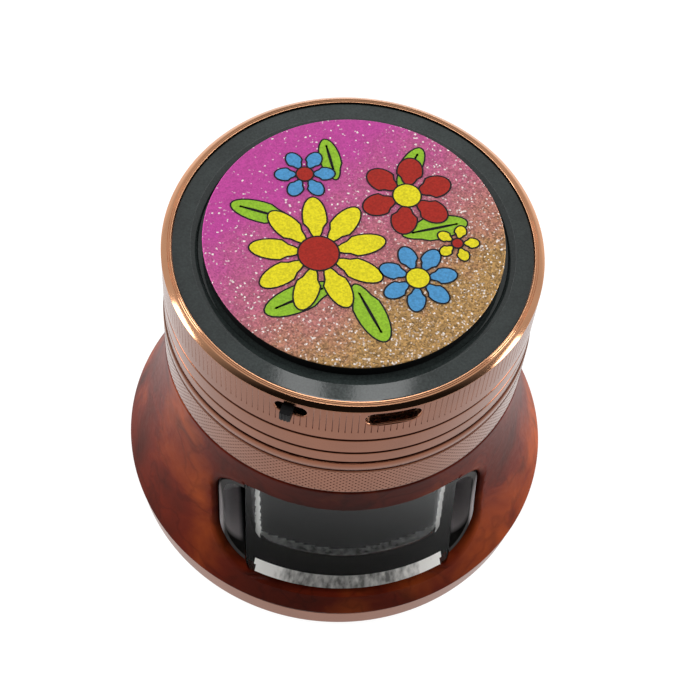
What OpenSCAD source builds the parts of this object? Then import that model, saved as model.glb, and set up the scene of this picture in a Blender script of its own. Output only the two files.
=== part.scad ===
// Hand-turned grinder with a lighted lid and a clear drawer.
// Frame: millimetres, +Z up, drawer front towards -Y, origin at the centre of the underside.

/* [Base] */
// Outer diameter of the metal base ring
base_ring_d = 76.9; // [74:0.1:77]
// Height of the metal base ring
base_ring_h = 4.3; // [3.8:0.1:6]
// Width of the base ring's upper face that carries the shell
base_ring_w = 4.9; // [4:0.1:6]
// Width of the base ring's step that holds the base plate
ring_step_w = 1.6; // [1.2:0.1:1.8]
// Height of the base ring's spigot inside the shell
ring_spigot_h = 2.2; // [1.2:0.1:2.6]
// How far the shell stands out over the base ring
flare_over = 0.85; // [0.2:0.05:2]
// Height at which the shell is widest
flare_z = 6.4; // [6:0.1:8]
// Width of the shell's face that rests on the base ring
shell_foot_w = 2.8; // [2.4:0.1:3.2]
// How far the shell's rim stands out round the chamber
rim_over = 0.1; // [0:0.05:0.4]
// Wall of the shell
shell_wall = 2.6; // [2:0.1:2.8]
// Radius of the shell's rounded lower edge
shell_edge_r = 2.9; // [2.3:0.1:3.2]
// Thickness of the base plate
plate_t = 2; // [1.6:0.1:2.2]
// Thickness of the foot pad
pad_t = 1; // [0.6:0.1:1.4]
// Width of the foot pad's ring
pad_w = 8; // [5:0.5:10]

/* [Drawer] */
// Width of the drawer
drawer_w = 36.6; // [30:0.1:37]
// Height of the drawer
drawer_h = 21.1; // [16:0.1:22]
// Height of the drawer's underside
drawer_z = 11.2; // [10.8:0.1:12]
// Place of the drawer's back face behind the centre
drawer_back = 18.2; // [14:0.1:18.6]
// Front wall of the drawer
drawer_front_t = 3; // [2:0.1:4]
// Side walls of the drawer
drawer_side_t = 1.6; // [1.2:0.1:2.5]
// Back wall of the drawer
drawer_back_t = 3; // [2.6:0.1:4]
// Floor of the drawer
drawer_floor_t = 2.4; // [1.5:0.1:4]
// How deep the drawer's front lies below the shell's surface
drawer_inset = 0.6; // [0.3:0.1:1]
// Radius of the drawer's lower edges
drawer_edge_r = 1.4; // [0.8:0.1:2]
// Running clearance round the drawer
drawer_gap = 0.15; // [0.1:0.05:0.3]
// How far each finger scoop reaches beyond the drawer
scoop_reach = 4.6; // [4.4:0.1:5.6]
// Distance from the drawer's underside up to the scoops
scoop_up = 0.8; // [0.4:0.1:2]
// Distance from the drawer's top down to the scoops
scoop_down = 1.1; // [0.4:0.1:3]
// Corner radius of the scoops
scoop_corner_r = 6; // [4:0.5:7]
// Plan radius of the scoops' rounded back
scoop_back_r = 10; // [9:0.5:10.5]
// Wall of the cups that line the scoops
cup_wall = 0.8; // [0.7:0.1:1.1]
// How deep the cups' edges lie below the shell's surface
cup_inset = 0.9; // [0.7:0.1:1.5]
// Wall of the drawer housing
housing_wall = 1.5; // [1.2:0.1:1.8]
// Top plate of the drawer housing
housing_top_t = 1.2; // [0.9:0.1:1.4]
// Distance from the drawer's sides to the hole that drops into it
drop_margin = 2.3; // [2:0.1:5]
// Height of the threaded collar
collar_h = 5.4; // [5.2:0.1:8]

/* [Chamber] */
// Outer diameter of the chamber and the lid
body_d = 63; // [61:0.1:64]
// Height of the chamber's outer band
band_h = 10; // [9:0.1:13]
// Diameter of the spigot that screws into the base
spigot_d = 52; // [50:0.1:53]
// Length of the screwed spigot
spigot_h = 4.4; // [3:0.1:4.7]
// Wall of the screwed spigot
spigot_wall = 2.4; // [2:0.1:3]
// Diameter of the upper spigot that the lid turns on
turn_d = 58.4; // [57.8:0.1:58.6]
// Height of the upper spigot
turn_h = 3.6; // [2.5:0.1:4]
// Wall of the upper spigot
turn_wall = 3.2; // [2.6:0.1:3.6]
// Height of the chamber floor above the shoulder
floor_up = 1; // [0.5:0.1:2]
// Thickness of the chamber floor
floor_t = 2.2; // [1.6:0.1:2.4]
// Diameter of the drop holes
hole_d = 4.2; // [3:0.1:4.4]
// Number of drop holes in the inner and outer rings
hole_counts = [8, 14];
// Length of a tooth across the turning direction
tooth_w = 2.8; // [2:0.1:3]
// Length of a tooth along the turning direction
tooth_l = 4.8; // [3:0.1:5]
// Radius of the first ring of teeth
tooth_ring_r = 10; // [9.5:0.1:10.5]
// Distance from one ring of teeth to the next
tooth_pitch = 4; // [3.8:0.1:4.1]
// Number of teeth in the four rings, from the inside out
tooth_counts = [5, 8, 10, 14];
// Gap between the tooth tips and the floor opposite
tip_gap = 0.8; // [0.4:0.1:1.5]
// Radius of the centre posts
post_r = 4.6; // [4.2:0.1:4.8]
// Height of the seal ring under the chamber's shoulder
seal_h = 1; // [0.6:0.1:1.4]
// Width of the seal ring
seal_w = 1.2; // [0.8:0.1:1.4]

/* [Lid] */
// Height of the lid
lid_h = 16.8; // [16:0.1:20]
// Floor of the lid
lid_floor_t = 3; // [2.6:0.1:3.4]
// Depth of the lid's electronics pocket with the cover's recess
pocket_h = 9.4; // [9.2:0.1:12]
// Diameter of the electronics pocket
pocket_d = 56.6; // [56:0.1:57]
// Inner diameter of the lid's lip
lip_d = 58.9; // [58:0.1:59.4]
// Width of the lip's top
lip_w = 1.3; // [0.8:0.1:1.5]
// Height of the lip's bevel
lip_bevel = 1; // [0.5:0.1:1.5]
// Height of the glide ring
glide_h = 0.8; // [0.6:0.1:1.2]
// Width of the glide ring
glide_w = 1.4; // [1:0.1:1.6]
// Visible gap between the lid and the chamber
lid_gap = 0.35; // [0.3:0.05:0.5]
// Height of the two grooves above the lid's lower edge
lid_grooves = [3.1, 7.3];
// Height of the chamber's groove above its lower edge
band_groove = 7.75; // [6:0.05:8.5]
// Width of the grooves
groove_w = 0.5; // [0.3:0.1:0.8]
// Depth of the grooves
groove_d = 0.35; // [0.2:0.05:0.6]

/* [Cover and badge] */
// Thickness of the cover's rim
cover_t = 1.15; // [0.9:0.05:1.4]
// How deep the cover's rim lies below the lip
cover_down = 0.3; // [0.1:0.05:0.5]
// Width of the cover's flat rim
cover_rim_w = 2.85; // [2:0.05:3.5]
// Step from the cover's rim to its middle
cover_step = 0.6; // [0.3:0.05:0.7]
// Diameter of the round badge
badge_d = 49.1; // [44:0.1:50]
// Height of the badge carrier
carrier_h = 2; // [1:0.1:4]
// Thickness of the printed disc
disc_t = 0.6; // [0.4:0.1:1]

/* [Lid electronics] */
// Height of the space between the circuit board and the cover
board_room = 3.15; // [3.1:0.05:3.8]
// Direction of the charge port from the front
port_angle = 8; // [0:0.5:40]
// Width of the port's slot
port_slot_w = 8.8; // [8:0.1:10]
// Height of the port's slot
port_slot_h = 3.2; // [2.8:0.1:3.2]
// How deep the port's mouth lies below the lid's surface
port_inset = 1.9; // [1.2:0.1:2.4]
// Length of the port's metal shell
port_l = 7.2; // [6:0.1:8]
// Wall of the port's metal shell
port_wall = 0.3; // [0.2:0.05:0.35]
// Direction of the slide switch from the front
switch_angle = -21.8; // [-50:0.1:-20]
// Length of the switch's slot
switch_slot_w = 5.2; // [5:0.1:6.5]
// Height of the switch's slot
switch_slot_h = 2.4; // [2.2:0.1:2.8]
// Width of the switch knob
knob_w = 1.8; // [1.4:0.1:2]
// Height of the switch knob
knob_h = 2; // [1.5:0.1:2]
// How far the knob stands out of the lid
knob_out = 1.5; // [0.8:0.1:2]
// How far the knob lies from the slot's centre when off
knob_rest = 0.4; // [0:0.1:0.7]
// Width of the switch body
switch_w = 7.5; // [7.2:0.1:9]
// Depth of the switch body
switch_l = 3; // [2.4:0.1:4]
// Thickness of the circuit board
board_t = 1; // [0.8:0.1:1.2]
// Gap round the circuit board in its pocket
board_margin = 0.4; // [0.2:0.1:1]
// Diameter of the hole in the circuit board
board_hole_d = 18; // [10:1:20]
// Number of lamps
led_count = 8; // [4:1:10]
// Radius of the ring of lamps
led_ring_r = 17; // [14:0.5:18]
// Length, width and height of a lamp
led_size = [3.2, 2.8, 0.9];
// Length, width and height of the battery
battery_size = [26, 20, 3.3];
// Distance from the battery's middle to the lid's middle
battery_y = 5; // [3:0.5:6]
// Diameter of the battery leads
lead_d = 1; // [0.8:0.1:1.2]

/* [Screws and magnets] */
// Diameter of the base screws
base_screw_d = 2.4; // [2:0.1:2.6]
// Length of the base screws' shanks
base_screw_l = 6; // [5:0.5:6]
// Diameter of the board screws
board_screw_d = 2; // [1.6:0.1:2.2]
// Length of the board screws' shanks
board_screw_l = 4; // [3:0.5:4.5]
// Diameter of the drawer's catch magnets
catch_d = 6; // [4:0.1:7]
// Thickness of the drawer's catch magnets
catch_t = 2; // [1.5:0.1:2.2]
// Diameter of the centre magnets
centre_magnet_d = 7; // [5:0.1:7.4]
// Thickness of the centre magnets
centre_magnet_t = 2; // [1.5:0.1:3]

/* [Hidden] */
$fn = 120;

// Clearances: between seated pieces, round pieces in pockets, and turning fits
seat = 0.05;
slip = 0.1;
run = 0.08;
// How far a cut reaches past the face that it opens
past = 1;
// Number of sides for the very large arc of the shell
arc_fn = 720;

// Drawer and its housing, from the drawer outwards
tunnel_w = drawer_w + 2 * drawer_gap;
tunnel_z = drawer_z - drawer_gap;
tunnel_h = drawer_h + 2 * drawer_gap;
tunnel_back = drawer_back + drawer_gap;
housing_back = tunnel_back + housing_wall;
housing_bottom = tunnel_z - housing_wall;
housing_top = tunnel_z + tunnel_h + housing_top_t;
drop_d = drawer_w - 2 * drop_margin;
cavity_corner_r = 2;
catch_z = drawer_z + drawer_h / 2;
catch_r = catch_d / 2;
catch_boss_wall = 1.3;
catch_boss_r = catch_r + catch_boss_wall;
catch_floor_t = 0.6;
catch_boss_l = catch_t + catch_floor_t;

// Finger scoops
scoop_w = drawer_w + 2 * scoop_reach;
scoop_h = drawer_h - scoop_up - scoop_down;
scoop_mid_z = drawer_z + scoop_up + scoop_h / 2;
scoop_slack = 1.6;
scoop_back_x = scoop_w / 2 - scoop_back_r + scoop_slack;
scoop_depth = 13.8;
cheek_over = 3.5;
cheek_w = scoop_w + 2 * cheek_over;
cheek_z = drawer_z + scoop_up - housing_wall;

// Threaded collar under the shell's rim
collar_z = housing_top + seat;
collar_top = collar_z + collar_h;
shell_top = collar_top + slip;

// Shell: a quarter-round flare, tangent to the vertical at the rim
body_r = body_d / 2;
neck_r = body_r + rim_over;
base_ring_r = base_ring_d / 2;
flare_r = base_ring_r + flare_over;
flare_run = shell_top - flare_z;
flare_rise = flare_r - neck_r;
flare_arc = (flare_run * flare_run + flare_rise * flare_rise) / (2 * flare_rise);
edge_drop = 0.2;
edge_z = base_ring_h + shell_edge_r - edge_drop;
collar_r = neck_r - shell_wall - slip;
scoop_back_y = scoop_depth - flare_r;
cheek_back = scoop_back_y + scoop_back_r + housing_wall;

// Base ring and plate
ring_inner_r = base_ring_r - base_ring_w;
ring_step_r = ring_inner_r + ring_step_w;
ring_bevel = 0.5;
shell_seat_r = base_ring_r - shell_foot_w;
plate_r = ring_step_r - slip;
plate_top = pad_t + plate_t;
pad_margin = 0.5;
pad_r = plate_r - pad_margin;
base_screw_x = 15.5;
base_screw_y = [-14, 13];
base_screw_r = base_screw_d / 2;
base_head_r = base_screw_d;
base_head_h = 1.1;
head_recess = base_head_h + slip;
boss_wall = 1.9;
boss_r = base_screw_r + boss_wall;
cross_w = 0.5;
cross_depth = 0.6;
cross_share = 1.3;

// Chamber
spigot_r = spigot_d / 2;
band_z = shell_top + seat;
shoulder_z = band_z + band_h;
plate_z = band_z + floor_up;
chamber_floor_z = plate_z + floor_t;
turn_r = turn_d / 2;
turn_top = shoulder_z + turn_h;
chamber_r = turn_r - turn_wall;
post_h = 6;
post_gap = 0.6;
tooth_radii = [for (ring = [0:3]) tooth_ring_r + ring * tooth_pitch];

// Lid
lid_z = shoulder_z + lid_gap;
lid_top = lid_z + lid_h;
pocket_z = lid_top - pocket_h;
lid_under = pocket_z - lid_floor_t;
lid_bore_r = turn_r + run;
pocket_r = pocket_d / 2;
lip_r = lip_d / 2;
lip_fall = 0.26;
glide_r = turn_r + slip;
glide_z = shoulder_z + seat;
centre_magnet_r = centre_magnet_d / 2;
chamber_post_top = chamber_floor_z + post_h;
lid_post_z = chamber_post_top + post_gap;

// Cover and badge
cover_r = lip_r - slip;
cover_top = lid_top - cover_down;
cover_z = cover_top - cover_t;
cover_slope_w = 0.3;
ledge_z = cover_z - seat;
badge_seat_z = cover_top - cover_step;
badge_r = badge_d / 2;
disc_over = 0.15;
carrier_r = badge_r - disc_over;

// Board and what it carries
board_r = pocket_r - board_margin;
board_top = ledge_z - board_room;
board_z = board_top - board_t;
board_boss_top = board_z - seat;
board_screw_r = board_screw_d / 2;
board_screw_edge = 3;
board_screw_ring_r = board_r - board_screw_edge;
board_screw_angles = [60, 180, 300];
board_boss_r = board_screw_r + 1.3;
board_head_r = board_screw_r + 0.9;
board_head_h = 1.2;
port_z = board_top + port_slot_h / 2;
port_w = port_slot_w - 2 * slip;
port_h = port_slot_h - 2 * slip;
port_face_r = body_r - port_inset;
tongue_side = 1.1;
tongue_h = 0.7;
tongue_inset = 0.8;
port_back_t = 1;
switch_up = 1.75;
switch_z = board_top + switch_up;
switch_h = 2.9;
switch_face_r = board_r;
switch_cavity = 1.2;
knob_foot_r = switch_face_r - switch_cavity + 3 * slip;
knob_tip_r = body_r + knob_out;
knob_corner_r = 0.3;
battery_z = pocket_z + seat;
lead_straight = 1.5;
lead_bend_r = 1.1;
lead_x = 2;

module ring(outer, inner, low, high) {
    translate([0, 0, low]) difference() {
        cylinder(r = outer, h = high - low);
        translate([0, 0, -past]) cylinder(r = inner, h = high - low + 2 * past);
    }
}

module peg(radius, low, high) {
    translate([0, 0, low]) cylinder(r = radius, h = high - low);
}

// Turns children so that they look out at an angle from the front, counted towards +X
module at_front(angle) {
    rotate([0, 0, angle]) children();
}

module rounded_rect(w, h, r) {
    square([w - 2 * r, h], center = true);
    square([w, h - 2 * r], center = true);
    for (sx = [-1, 1], sy = [-1, 1])
        translate([sx * (w / 2 - r), sy * (h / 2 - r)]) circle(r = r);
}

// Extrudes a drawing of the front, with x across and y up, from one y to another
module along_y(from, to) {
    translate([0, to, 0]) rotate([90, 0, 0]) linear_extrude(height = to - from) children();
}

// The solid inside the flared surface, moved inwards by depth
module flare_solid(depth) {
    rotate_extrude($fn = 180) difference() {
        square([flare_r + 3, shell_top]);
        translate([neck_r + flare_arc, shell_top]) circle(r = flare_arc + depth, $fn = arc_fn);
    }
}

// Keeps the shell's lower edge round
module edge_limit() {
    centre_r = flare_r - shell_edge_r;
    rotate_extrude($fn = 180) {
        translate([0, edge_z]) square([flare_r + 3, shell_top]);
        translate([0, base_ring_h]) square([centre_r, shell_top]);
        intersection() {
            translate([centre_r, edge_z]) circle(r = shell_edge_r);
            translate([0, base_ring_h]) square([flare_r + 3, shell_top]);
        }
    }
}

// Outline of the drawer, seen from the front, with its lower edges rounded
module drawer_outline(w, low, h, r) {
    translate([-w / 2, low + r]) square([w, h - r]);
    translate([-w / 2 + r, low]) square([w - 2 * r, h]);
    for (side = [-1, 1])
        translate([side * (w / 2 - r), low + r]) circle(r = r);
}

module tunnel_outline() {
    drawer_outline(tunnel_w, tunnel_z, tunnel_h, drawer_edge_r);
}

module scoop_outline(inset = 0) {
    translate([0, scoop_mid_z])
        rounded_rect(scoop_w - 2 * inset, scoop_h - 2 * inset, scoop_corner_r - inset);
}

// Cups that line the scoops, from their backs almost to the shell's surface
module scoop_cups() {
    intersection() {
        along_y(-flare_r, scoop_back_y + scoop_back_r) scoop_outline(slip);
        flare_solid(cup_inset);
    }
}

// Finger scoops: the outline seen from the front, with a back that is round in plan
module scoops() {
    intersection() {
        along_y(-flare_r - past, 0) scoop_outline(slip + cup_wall);
        linear_extrude(height = shell_top) {
            for (side = [-1, 1])
                translate([side * scoop_back_x, scoop_back_y]) circle(r = scoop_back_r);
            translate([-flare_r, -flare_r - past]) square([2 * flare_r, flare_r + past + scoop_back_y]);
        }
    }
}

module horn_shell() {
    color("#5a2214") difference() {
        intersection() {
            flare_solid(0);
            edge_limit();
        }
        intersection() {
            translate([0, 0, -past]) flare_inner();
            translate([0, 0, -past]) cylinder(r = shell_seat_r, h = shell_top + 2 * past);
        }
        along_y(-flare_r - past, 0) tunnel_outline();
        along_y(-flare_r - past, 0) scoop_outline();
    }
}

// The flare's inner side, carried straight on past the rim so that the shell is open on top
module flare_inner() {
    translate([0, 0, past]) flare_solid(shell_wall);
    cylinder(r = neck_r - shell_wall, h = shell_top + 3 * past);
}

module drawer_housing() {
    color("#4a4646") difference() {
        union() {
            intersection() {
                union() {
                    along_y(-flare_r, housing_back)
                        translate([-tunnel_w / 2 - housing_wall, housing_bottom])
                        square([tunnel_w + 2 * housing_wall, housing_top - housing_bottom]);
                    translate([-cheek_w / 2, -flare_r, cheek_z])
                        cube([cheek_w, flare_r + cheek_back, housing_top - cheek_z]);
                    peg(collar_r, housing_top - housing_top_t, housing_top);
                }
                flare_solid(shell_wall + slip);
                cylinder(r = shell_seat_r - slip, h = shell_top);
            }
            scoop_cups();
            along_y(tunnel_back, housing_back + catch_boss_l)
                translate([0, catch_z]) circle(r = catch_boss_r);
            for (x = [-1, 1], y = base_screw_y)
                translate([x * base_screw_x, y, 0])
                    peg(boss_r, plate_top + seat, housing_bottom + housing_wall / 2);
        }
        along_y(-flare_r - past, tunnel_back) tunnel_outline();
        scoops();
        translate([0, 0, catch_z]) cylinder(d = drop_d, h = shell_top);
        along_y(housing_back + catch_boss_l - catch_t - slip, housing_back + catch_boss_l + past)
            translate([0, catch_z]) circle(r = catch_r + seat);
        for (x = [-1, 1], y = base_screw_y)
            translate([x * base_screw_x, y, 0])
                peg(base_screw_r + seat, 0, pad_t + head_recess + base_screw_l + slip);
    }
}

module thread_collar() {
    color("#8a6a58") difference() {
        ring(collar_r, spigot_r + run, collar_z, collar_top);
        peg(spigot_r + run + seal_w + slip, shell_top - seal_h - slip, shell_top + past);
    }
}

module base_ring() {
    color("#9a6c57") difference() {
        union() {
            peg(base_ring_r, ring_bevel, base_ring_h);
            cylinder(r1 = base_ring_r - ring_bevel, r2 = base_ring_r, h = ring_bevel);
            peg(shell_seat_r - slip, base_ring_h - past, base_ring_h + ring_spigot_h);
        }
        translate([0, 0, -past]) cylinder(r = ring_inner_r, h = base_ring_h + ring_spigot_h + 2 * past);
        peg(ring_step_r, -past, plate_top + seat);
    }
}

module base_plate() {
    color("#2b2927") difference() {
        peg(plate_r, pad_t, plate_top);
        for (x = [-1, 1], y = base_screw_y)
            translate([x * base_screw_x, y, 0]) {
                peg(base_screw_r + slip, 0, plate_top + past);
                peg(base_head_r + slip, 0, pad_t + head_recess);
            }
    }
}

// A cross recess in a screw head, half above and half below the head's face
module cross_recess(head_r, face_z) {
    translate([0, 0, face_z]) for (turn = [0, 90])
        rotate([0, 0, turn]) cube([head_r * cross_share, cross_w, 2 * cross_depth], center = true);
}

module foot_pad() {
    color("#191919") ring(pad_r, pad_r - pad_w, 0, pad_t);
}

module base_screws() {
    color("#b8b8ba") for (x = [-1, 1], y = base_screw_y)
        translate([x * base_screw_x, y, pad_t]) {
            difference() {
                peg(base_head_r, slip, head_recess);
                cross_recess(base_head_r, slip);
            }
            peg(base_screw_r, head_recess, head_recess + base_screw_l);
        }
}

module catch_disc(front) {
    along_y(front, front + catch_t) translate([0, catch_z]) circle(r = catch_r);
}

module housing_magnet() {
    color("#c8c8ca") catch_disc(housing_back + catch_boss_l - catch_t);
}

module drawer_magnet() {
    color("#c8c8ca") catch_disc(drawer_back - catch_t);
}

module drawer() {
    color("#c8ccce", 0.4) difference() {
        intersection() {
            flare_solid(drawer_inset);
            along_y(-flare_r, drawer_back) drawer_outline(drawer_w, drawer_z, drawer_h, drawer_edge_r);
        }
        intersection() {
            flare_solid(drawer_inset + drawer_front_t);
            translate([0, 0, drawer_z + drawer_floor_t]) linear_extrude(height = drawer_h) drawer_plan();
        }
        along_y(drawer_back - catch_t - seat, drawer_back + past)
            translate([0, catch_z]) circle(r = catch_r + seat);
    }
}

// Plan of the drawer's inside: straight at the front, with rounded back corners
module drawer_plan() {
    inside_w = drawer_w - 2 * drawer_side_t;
    inside_back = drawer_back - drawer_back_t;
    corner = cavity_corner_r;
    translate([-inside_w / 2, -flare_r]) square([inside_w, flare_r + inside_back - corner]);
    translate([-inside_w / 2 + corner, -flare_r]) square([inside_w - 2 * corner, flare_r + inside_back]);
    for (side = [-1, 1])
        translate([side * (inside_w / 2 - corner), inside_back - corner]) circle(r = corner);
}

module chamber_seal() {
    color("#2a2a2c") ring(spigot_r + run + seal_w, spigot_r + run, shell_top - seal_h, shell_top);
}

// One ring of diamond-shaped teeth
module tooth_ring(ring, low, high) {
    count = tooth_counts[ring];
    for (i = [0:count - 1])
        rotate([0, 0, i * 360 / count]) translate([0, -tooth_radii[ring], low])
            linear_extrude(height = high - low)
            polygon([[tooth_l / 2, 0], [0, tooth_w / 2], [-tooth_l / 2, 0], [0, -tooth_w / 2]]);
}

module drop_holes() {
    for (row = [0, 1], i = [0:hole_counts[row] - 1])
        rotate([0, 0, (i + 0.5) * 360 / hole_counts[row]])
            translate([0, -tooth_radii[2 * row], 0]) peg(hole_d / 2, plate_z - past, chamber_floor_z + past);
}

module outer_groove(z) {
    ring(body_r + past, body_r - groove_d, z - groove_w / 2, z + groove_w / 2);
}

module chamber_ring() {
    color("#a06f59") difference() {
        union() {
            peg(body_r, band_z, shoulder_z);
            peg(turn_r, shoulder_z - past, turn_top);
            peg(spigot_r, band_z - spigot_h, band_z + past);
        }
        peg(chamber_r, plate_z, turn_top + past);
        peg(spigot_r - spigot_wall, band_z - spigot_h - past, plate_z + past);
        outer_groove(band_z + band_groove);
    }
}

// The chamber's floor, which rests on the ring's inner ledge
module tooth_plate() {
    color("#a06f59") difference() {
        union() {
            peg(chamber_r - seat, plate_z, chamber_floor_z);
            peg(post_r, plate_z, chamber_post_top);
        }
        peg(centre_magnet_r + seat, chamber_post_top - centre_magnet_t - seat, chamber_post_top + past);
        drop_holes();
    }
}

module chamber_teeth() {
    color("#b88a72") for (ring = [1, 3]) tooth_ring(ring, chamber_floor_z, lid_under - tip_gap);
}

module chamber_magnet() {
    color("#c8c8ca") peg(centre_magnet_r, chamber_post_top - centre_magnet_t, chamber_post_top);
}

module glide_ring() {
    color("#e8e6e0") ring(glide_r + glide_w, glide_r, glide_z, glide_z + glide_h);
}

// Profile of the lid's outside, from the lower edge to the sloping lip
module lid_profile() {
    polygon([
        [0, lid_z],
        [body_r, lid_z],
        [body_r, lid_top - lip_fall - lip_bevel],
        [lip_r + lip_w, lid_top - lip_fall],
        [lip_r, lid_top],
        [0, lid_top]
    ]);
}

// A slot with round ends, cut outwards at an angle from the front
module stadium(w, h) {
    square([w - h, h], center = true);
    for (side = [-1, 1]) translate([side * (w - h) / 2, 0]) circle(d = h);
}

module wall_slot(angle, z, w, h) {
    at_front(angle) along_y(-body_r - past, -pocket_r / 2) translate([0, z]) stadium(w, h);
}

module board_screw_places() {
    for (angle = board_screw_angles)
        rotate([0, 0, angle]) translate([0, -board_screw_ring_r, 0]) children();
}

module lid_shell() {
    color("#a06f59") {
        difference() {
            rotate_extrude() lid_profile();
            peg(lid_bore_r, lid_z - past, lid_under);
            peg(glide_r + glide_w + slip, lid_z - past, glide_z + glide_h + seat);
            peg(pocket_r, pocket_z, lid_top);
            peg(lip_r, ledge_z, lid_top + past);
            wall_slot(port_angle, port_z, port_slot_w, port_slot_h);
            wall_slot(switch_angle, switch_z, switch_slot_w, switch_slot_h);
            for (z = lid_grooves) outer_groove(lid_z + z);
        }
        board_screw_places() difference() {
            peg(board_boss_r, pocket_z - lid_floor_t / 2, board_boss_top);
            peg(board_screw_r + seat, board_top - board_screw_l - slip, board_top);
        }
    }
}

module lid_post() {
    color("#b88a72") difference() {
        peg(post_r, lid_post_z, lid_under);
        peg(centre_magnet_r + seat, lid_post_z - past, lid_post_z + centre_magnet_t + seat);
    }
}

module lid_teeth() {
    color("#b88a72") for (ring = [0, 2]) tooth_ring(ring, chamber_floor_z + tip_gap, lid_under);
}

module lid_magnet() {
    color("#c8c8ca") peg(centre_magnet_r, lid_post_z, lid_post_z + centre_magnet_t);
}

module light_cover() {
    rim_r = cover_r - cover_rim_w;
    color("#42484a") rotate_extrude() polygon([
        [0, cover_z],
        [cover_r, cover_z],
        [cover_r, cover_top],
        [rim_r, cover_top],
        [rim_r - cover_slope_w, cover_top - cover_step / 2],
        [badge_r, badge_seat_z],
        [0, badge_seat_z]
    ]);
}

module badge_carrier() {
    color("#141414") peg(carrier_r, badge_seat_z, badge_seat_z + carrier_h);
}

module badge_disc() {
    color("#b05c7c") peg(badge_r, badge_seat_z + carrier_h, badge_seat_z + carrier_h + disc_t);
}

module led_board() {
    color("#1f5a3a") difference() {
        ring(board_r, board_hole_d / 2, board_z, board_top);
        board_screw_places() peg(board_screw_r + slip, board_z - past, board_top + past);
    }
}

module leds() {
    color("#f2f0d8") for (i = [0:led_count - 1])
        rotate([0, 0, (i + 0.5) * 360 / led_count])
            translate([-led_size.x / 2, -led_ring_r - led_size.y / 2, board_top]) cube(led_size);
}

module battery() {
    color("#9aa2a8") translate([-battery_size.x / 2, battery_y - battery_size.y / 2, battery_z])
        cube(battery_size);
}

// A lead from the battery's front edge, bent up to the board
module battery_lead(x) {
    start_y = battery_y - battery_size.y / 2;
    lead_z = battery_z + battery_size.z / 2;
    bend_y = start_y - lead_straight;
    translate([x, bend_y, lead_z]) rotate([-90, 0, 0]) cylinder(d = lead_d, h = lead_straight);
    translate([x, bend_y, lead_z + lead_bend_r]) rotate([0, 90, 0])
        rotate([0, 0, -90]) rotate_extrude(angle = 90) translate([lead_bend_r, 0]) circle(d = lead_d);
    translate([x, bend_y - lead_bend_r, 0])
        peg(lead_d / 2, lead_z + lead_bend_r, board_z);
}

module lead_red() {
    color("#b02018") battery_lead(-lead_x);
}

module lead_black() {
    color("#181818") battery_lead(lead_x);
}

module charge_port() {
    color("#b4b6b8") at_front(port_angle) difference() {
        along_y(-port_face_r, port_l - port_face_r) translate([0, port_z]) stadium(port_w, port_h);
        along_y(-port_face_r - past, port_l - port_face_r - port_back_t)
            translate([0, port_z]) stadium(port_w - 2 * port_wall, port_h - 2 * port_wall);
    }
}

module port_tongue() {
    tongue_w = port_w - 2 * tongue_side;
    color("#1c1c1e") at_front(port_angle)
        translate([-tongue_w / 2, tongue_inset - port_face_r, port_z - tongue_h / 2])
        cube([tongue_w, port_l - port_back_t - tongue_inset, tongue_h]);
}

module switch_body() {
    color("#2c2c30") at_front(switch_angle) difference() {
        translate([-switch_w / 2, -switch_face_r, board_top]) cube([switch_w, switch_l, switch_h]);
        translate([-switch_slot_w / 2, -switch_face_r - past, switch_z - knob_h / 2 - slip])
            cube([switch_slot_w, switch_cavity + past, knob_h + 2 * slip]);
    }
}

module switch_knob() {
    color("#0e0e10") at_front(switch_angle) along_y(-knob_tip_r, -knob_foot_r)
        translate([-knob_rest, switch_z]) rounded_rect(knob_w, knob_h, knob_corner_r);
}

module board_screws() {
    color("#c0c0c2") board_screw_places() {
        difference() {
            peg(board_head_r, board_top, board_top + board_head_h);
            cross_recess(board_head_r, board_top + board_head_h);
        }
        peg(board_screw_r, board_top - board_screw_l, board_top);
    }
}

horn_shell();
drawer_housing();
thread_collar();
base_ring();
base_plate();
foot_pad();
base_screws();
housing_magnet();
drawer();
drawer_magnet();
chamber_seal();
chamber_ring();
tooth_plate();
chamber_teeth();
chamber_magnet();
glide_ring();
lid_shell();
lid_post();
lid_teeth();
lid_magnet();
light_cover();
badge_carrier();
badge_disc();
led_board();
leds();
battery();
lead_red();
lead_black();
charge_port();
port_tongue();
switch_body();
switch_knob();
board_screws();
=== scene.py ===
"""Looks of a hand-turned grinder: metal lid and chamber, burl shell and clear drawer.

Laid out as an add-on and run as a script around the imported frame. Modelling is in
millimetres and becomes metres as each piece is made.
"""
import math
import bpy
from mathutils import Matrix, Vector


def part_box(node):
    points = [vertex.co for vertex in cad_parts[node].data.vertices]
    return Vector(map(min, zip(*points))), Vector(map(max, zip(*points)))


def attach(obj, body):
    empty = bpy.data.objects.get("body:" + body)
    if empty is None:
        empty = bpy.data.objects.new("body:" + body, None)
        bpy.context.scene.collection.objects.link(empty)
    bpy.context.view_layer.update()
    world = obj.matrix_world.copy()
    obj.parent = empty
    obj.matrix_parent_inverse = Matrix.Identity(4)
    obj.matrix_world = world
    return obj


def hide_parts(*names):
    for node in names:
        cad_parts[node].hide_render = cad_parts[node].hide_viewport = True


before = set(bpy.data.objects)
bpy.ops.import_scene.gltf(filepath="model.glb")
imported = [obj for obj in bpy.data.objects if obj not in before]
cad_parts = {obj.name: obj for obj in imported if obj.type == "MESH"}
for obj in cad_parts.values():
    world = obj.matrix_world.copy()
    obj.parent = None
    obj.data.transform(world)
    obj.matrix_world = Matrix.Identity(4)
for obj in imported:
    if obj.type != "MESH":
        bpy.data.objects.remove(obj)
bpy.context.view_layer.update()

from types import SimpleNamespace

import bpy
from bpy.props import FloatProperty, FloatVectorProperty, IntProperty, PointerProperty
from bpy.types import NodeSocket, Operator, Panel, PropertyGroup
from mathutils import Vector

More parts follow.
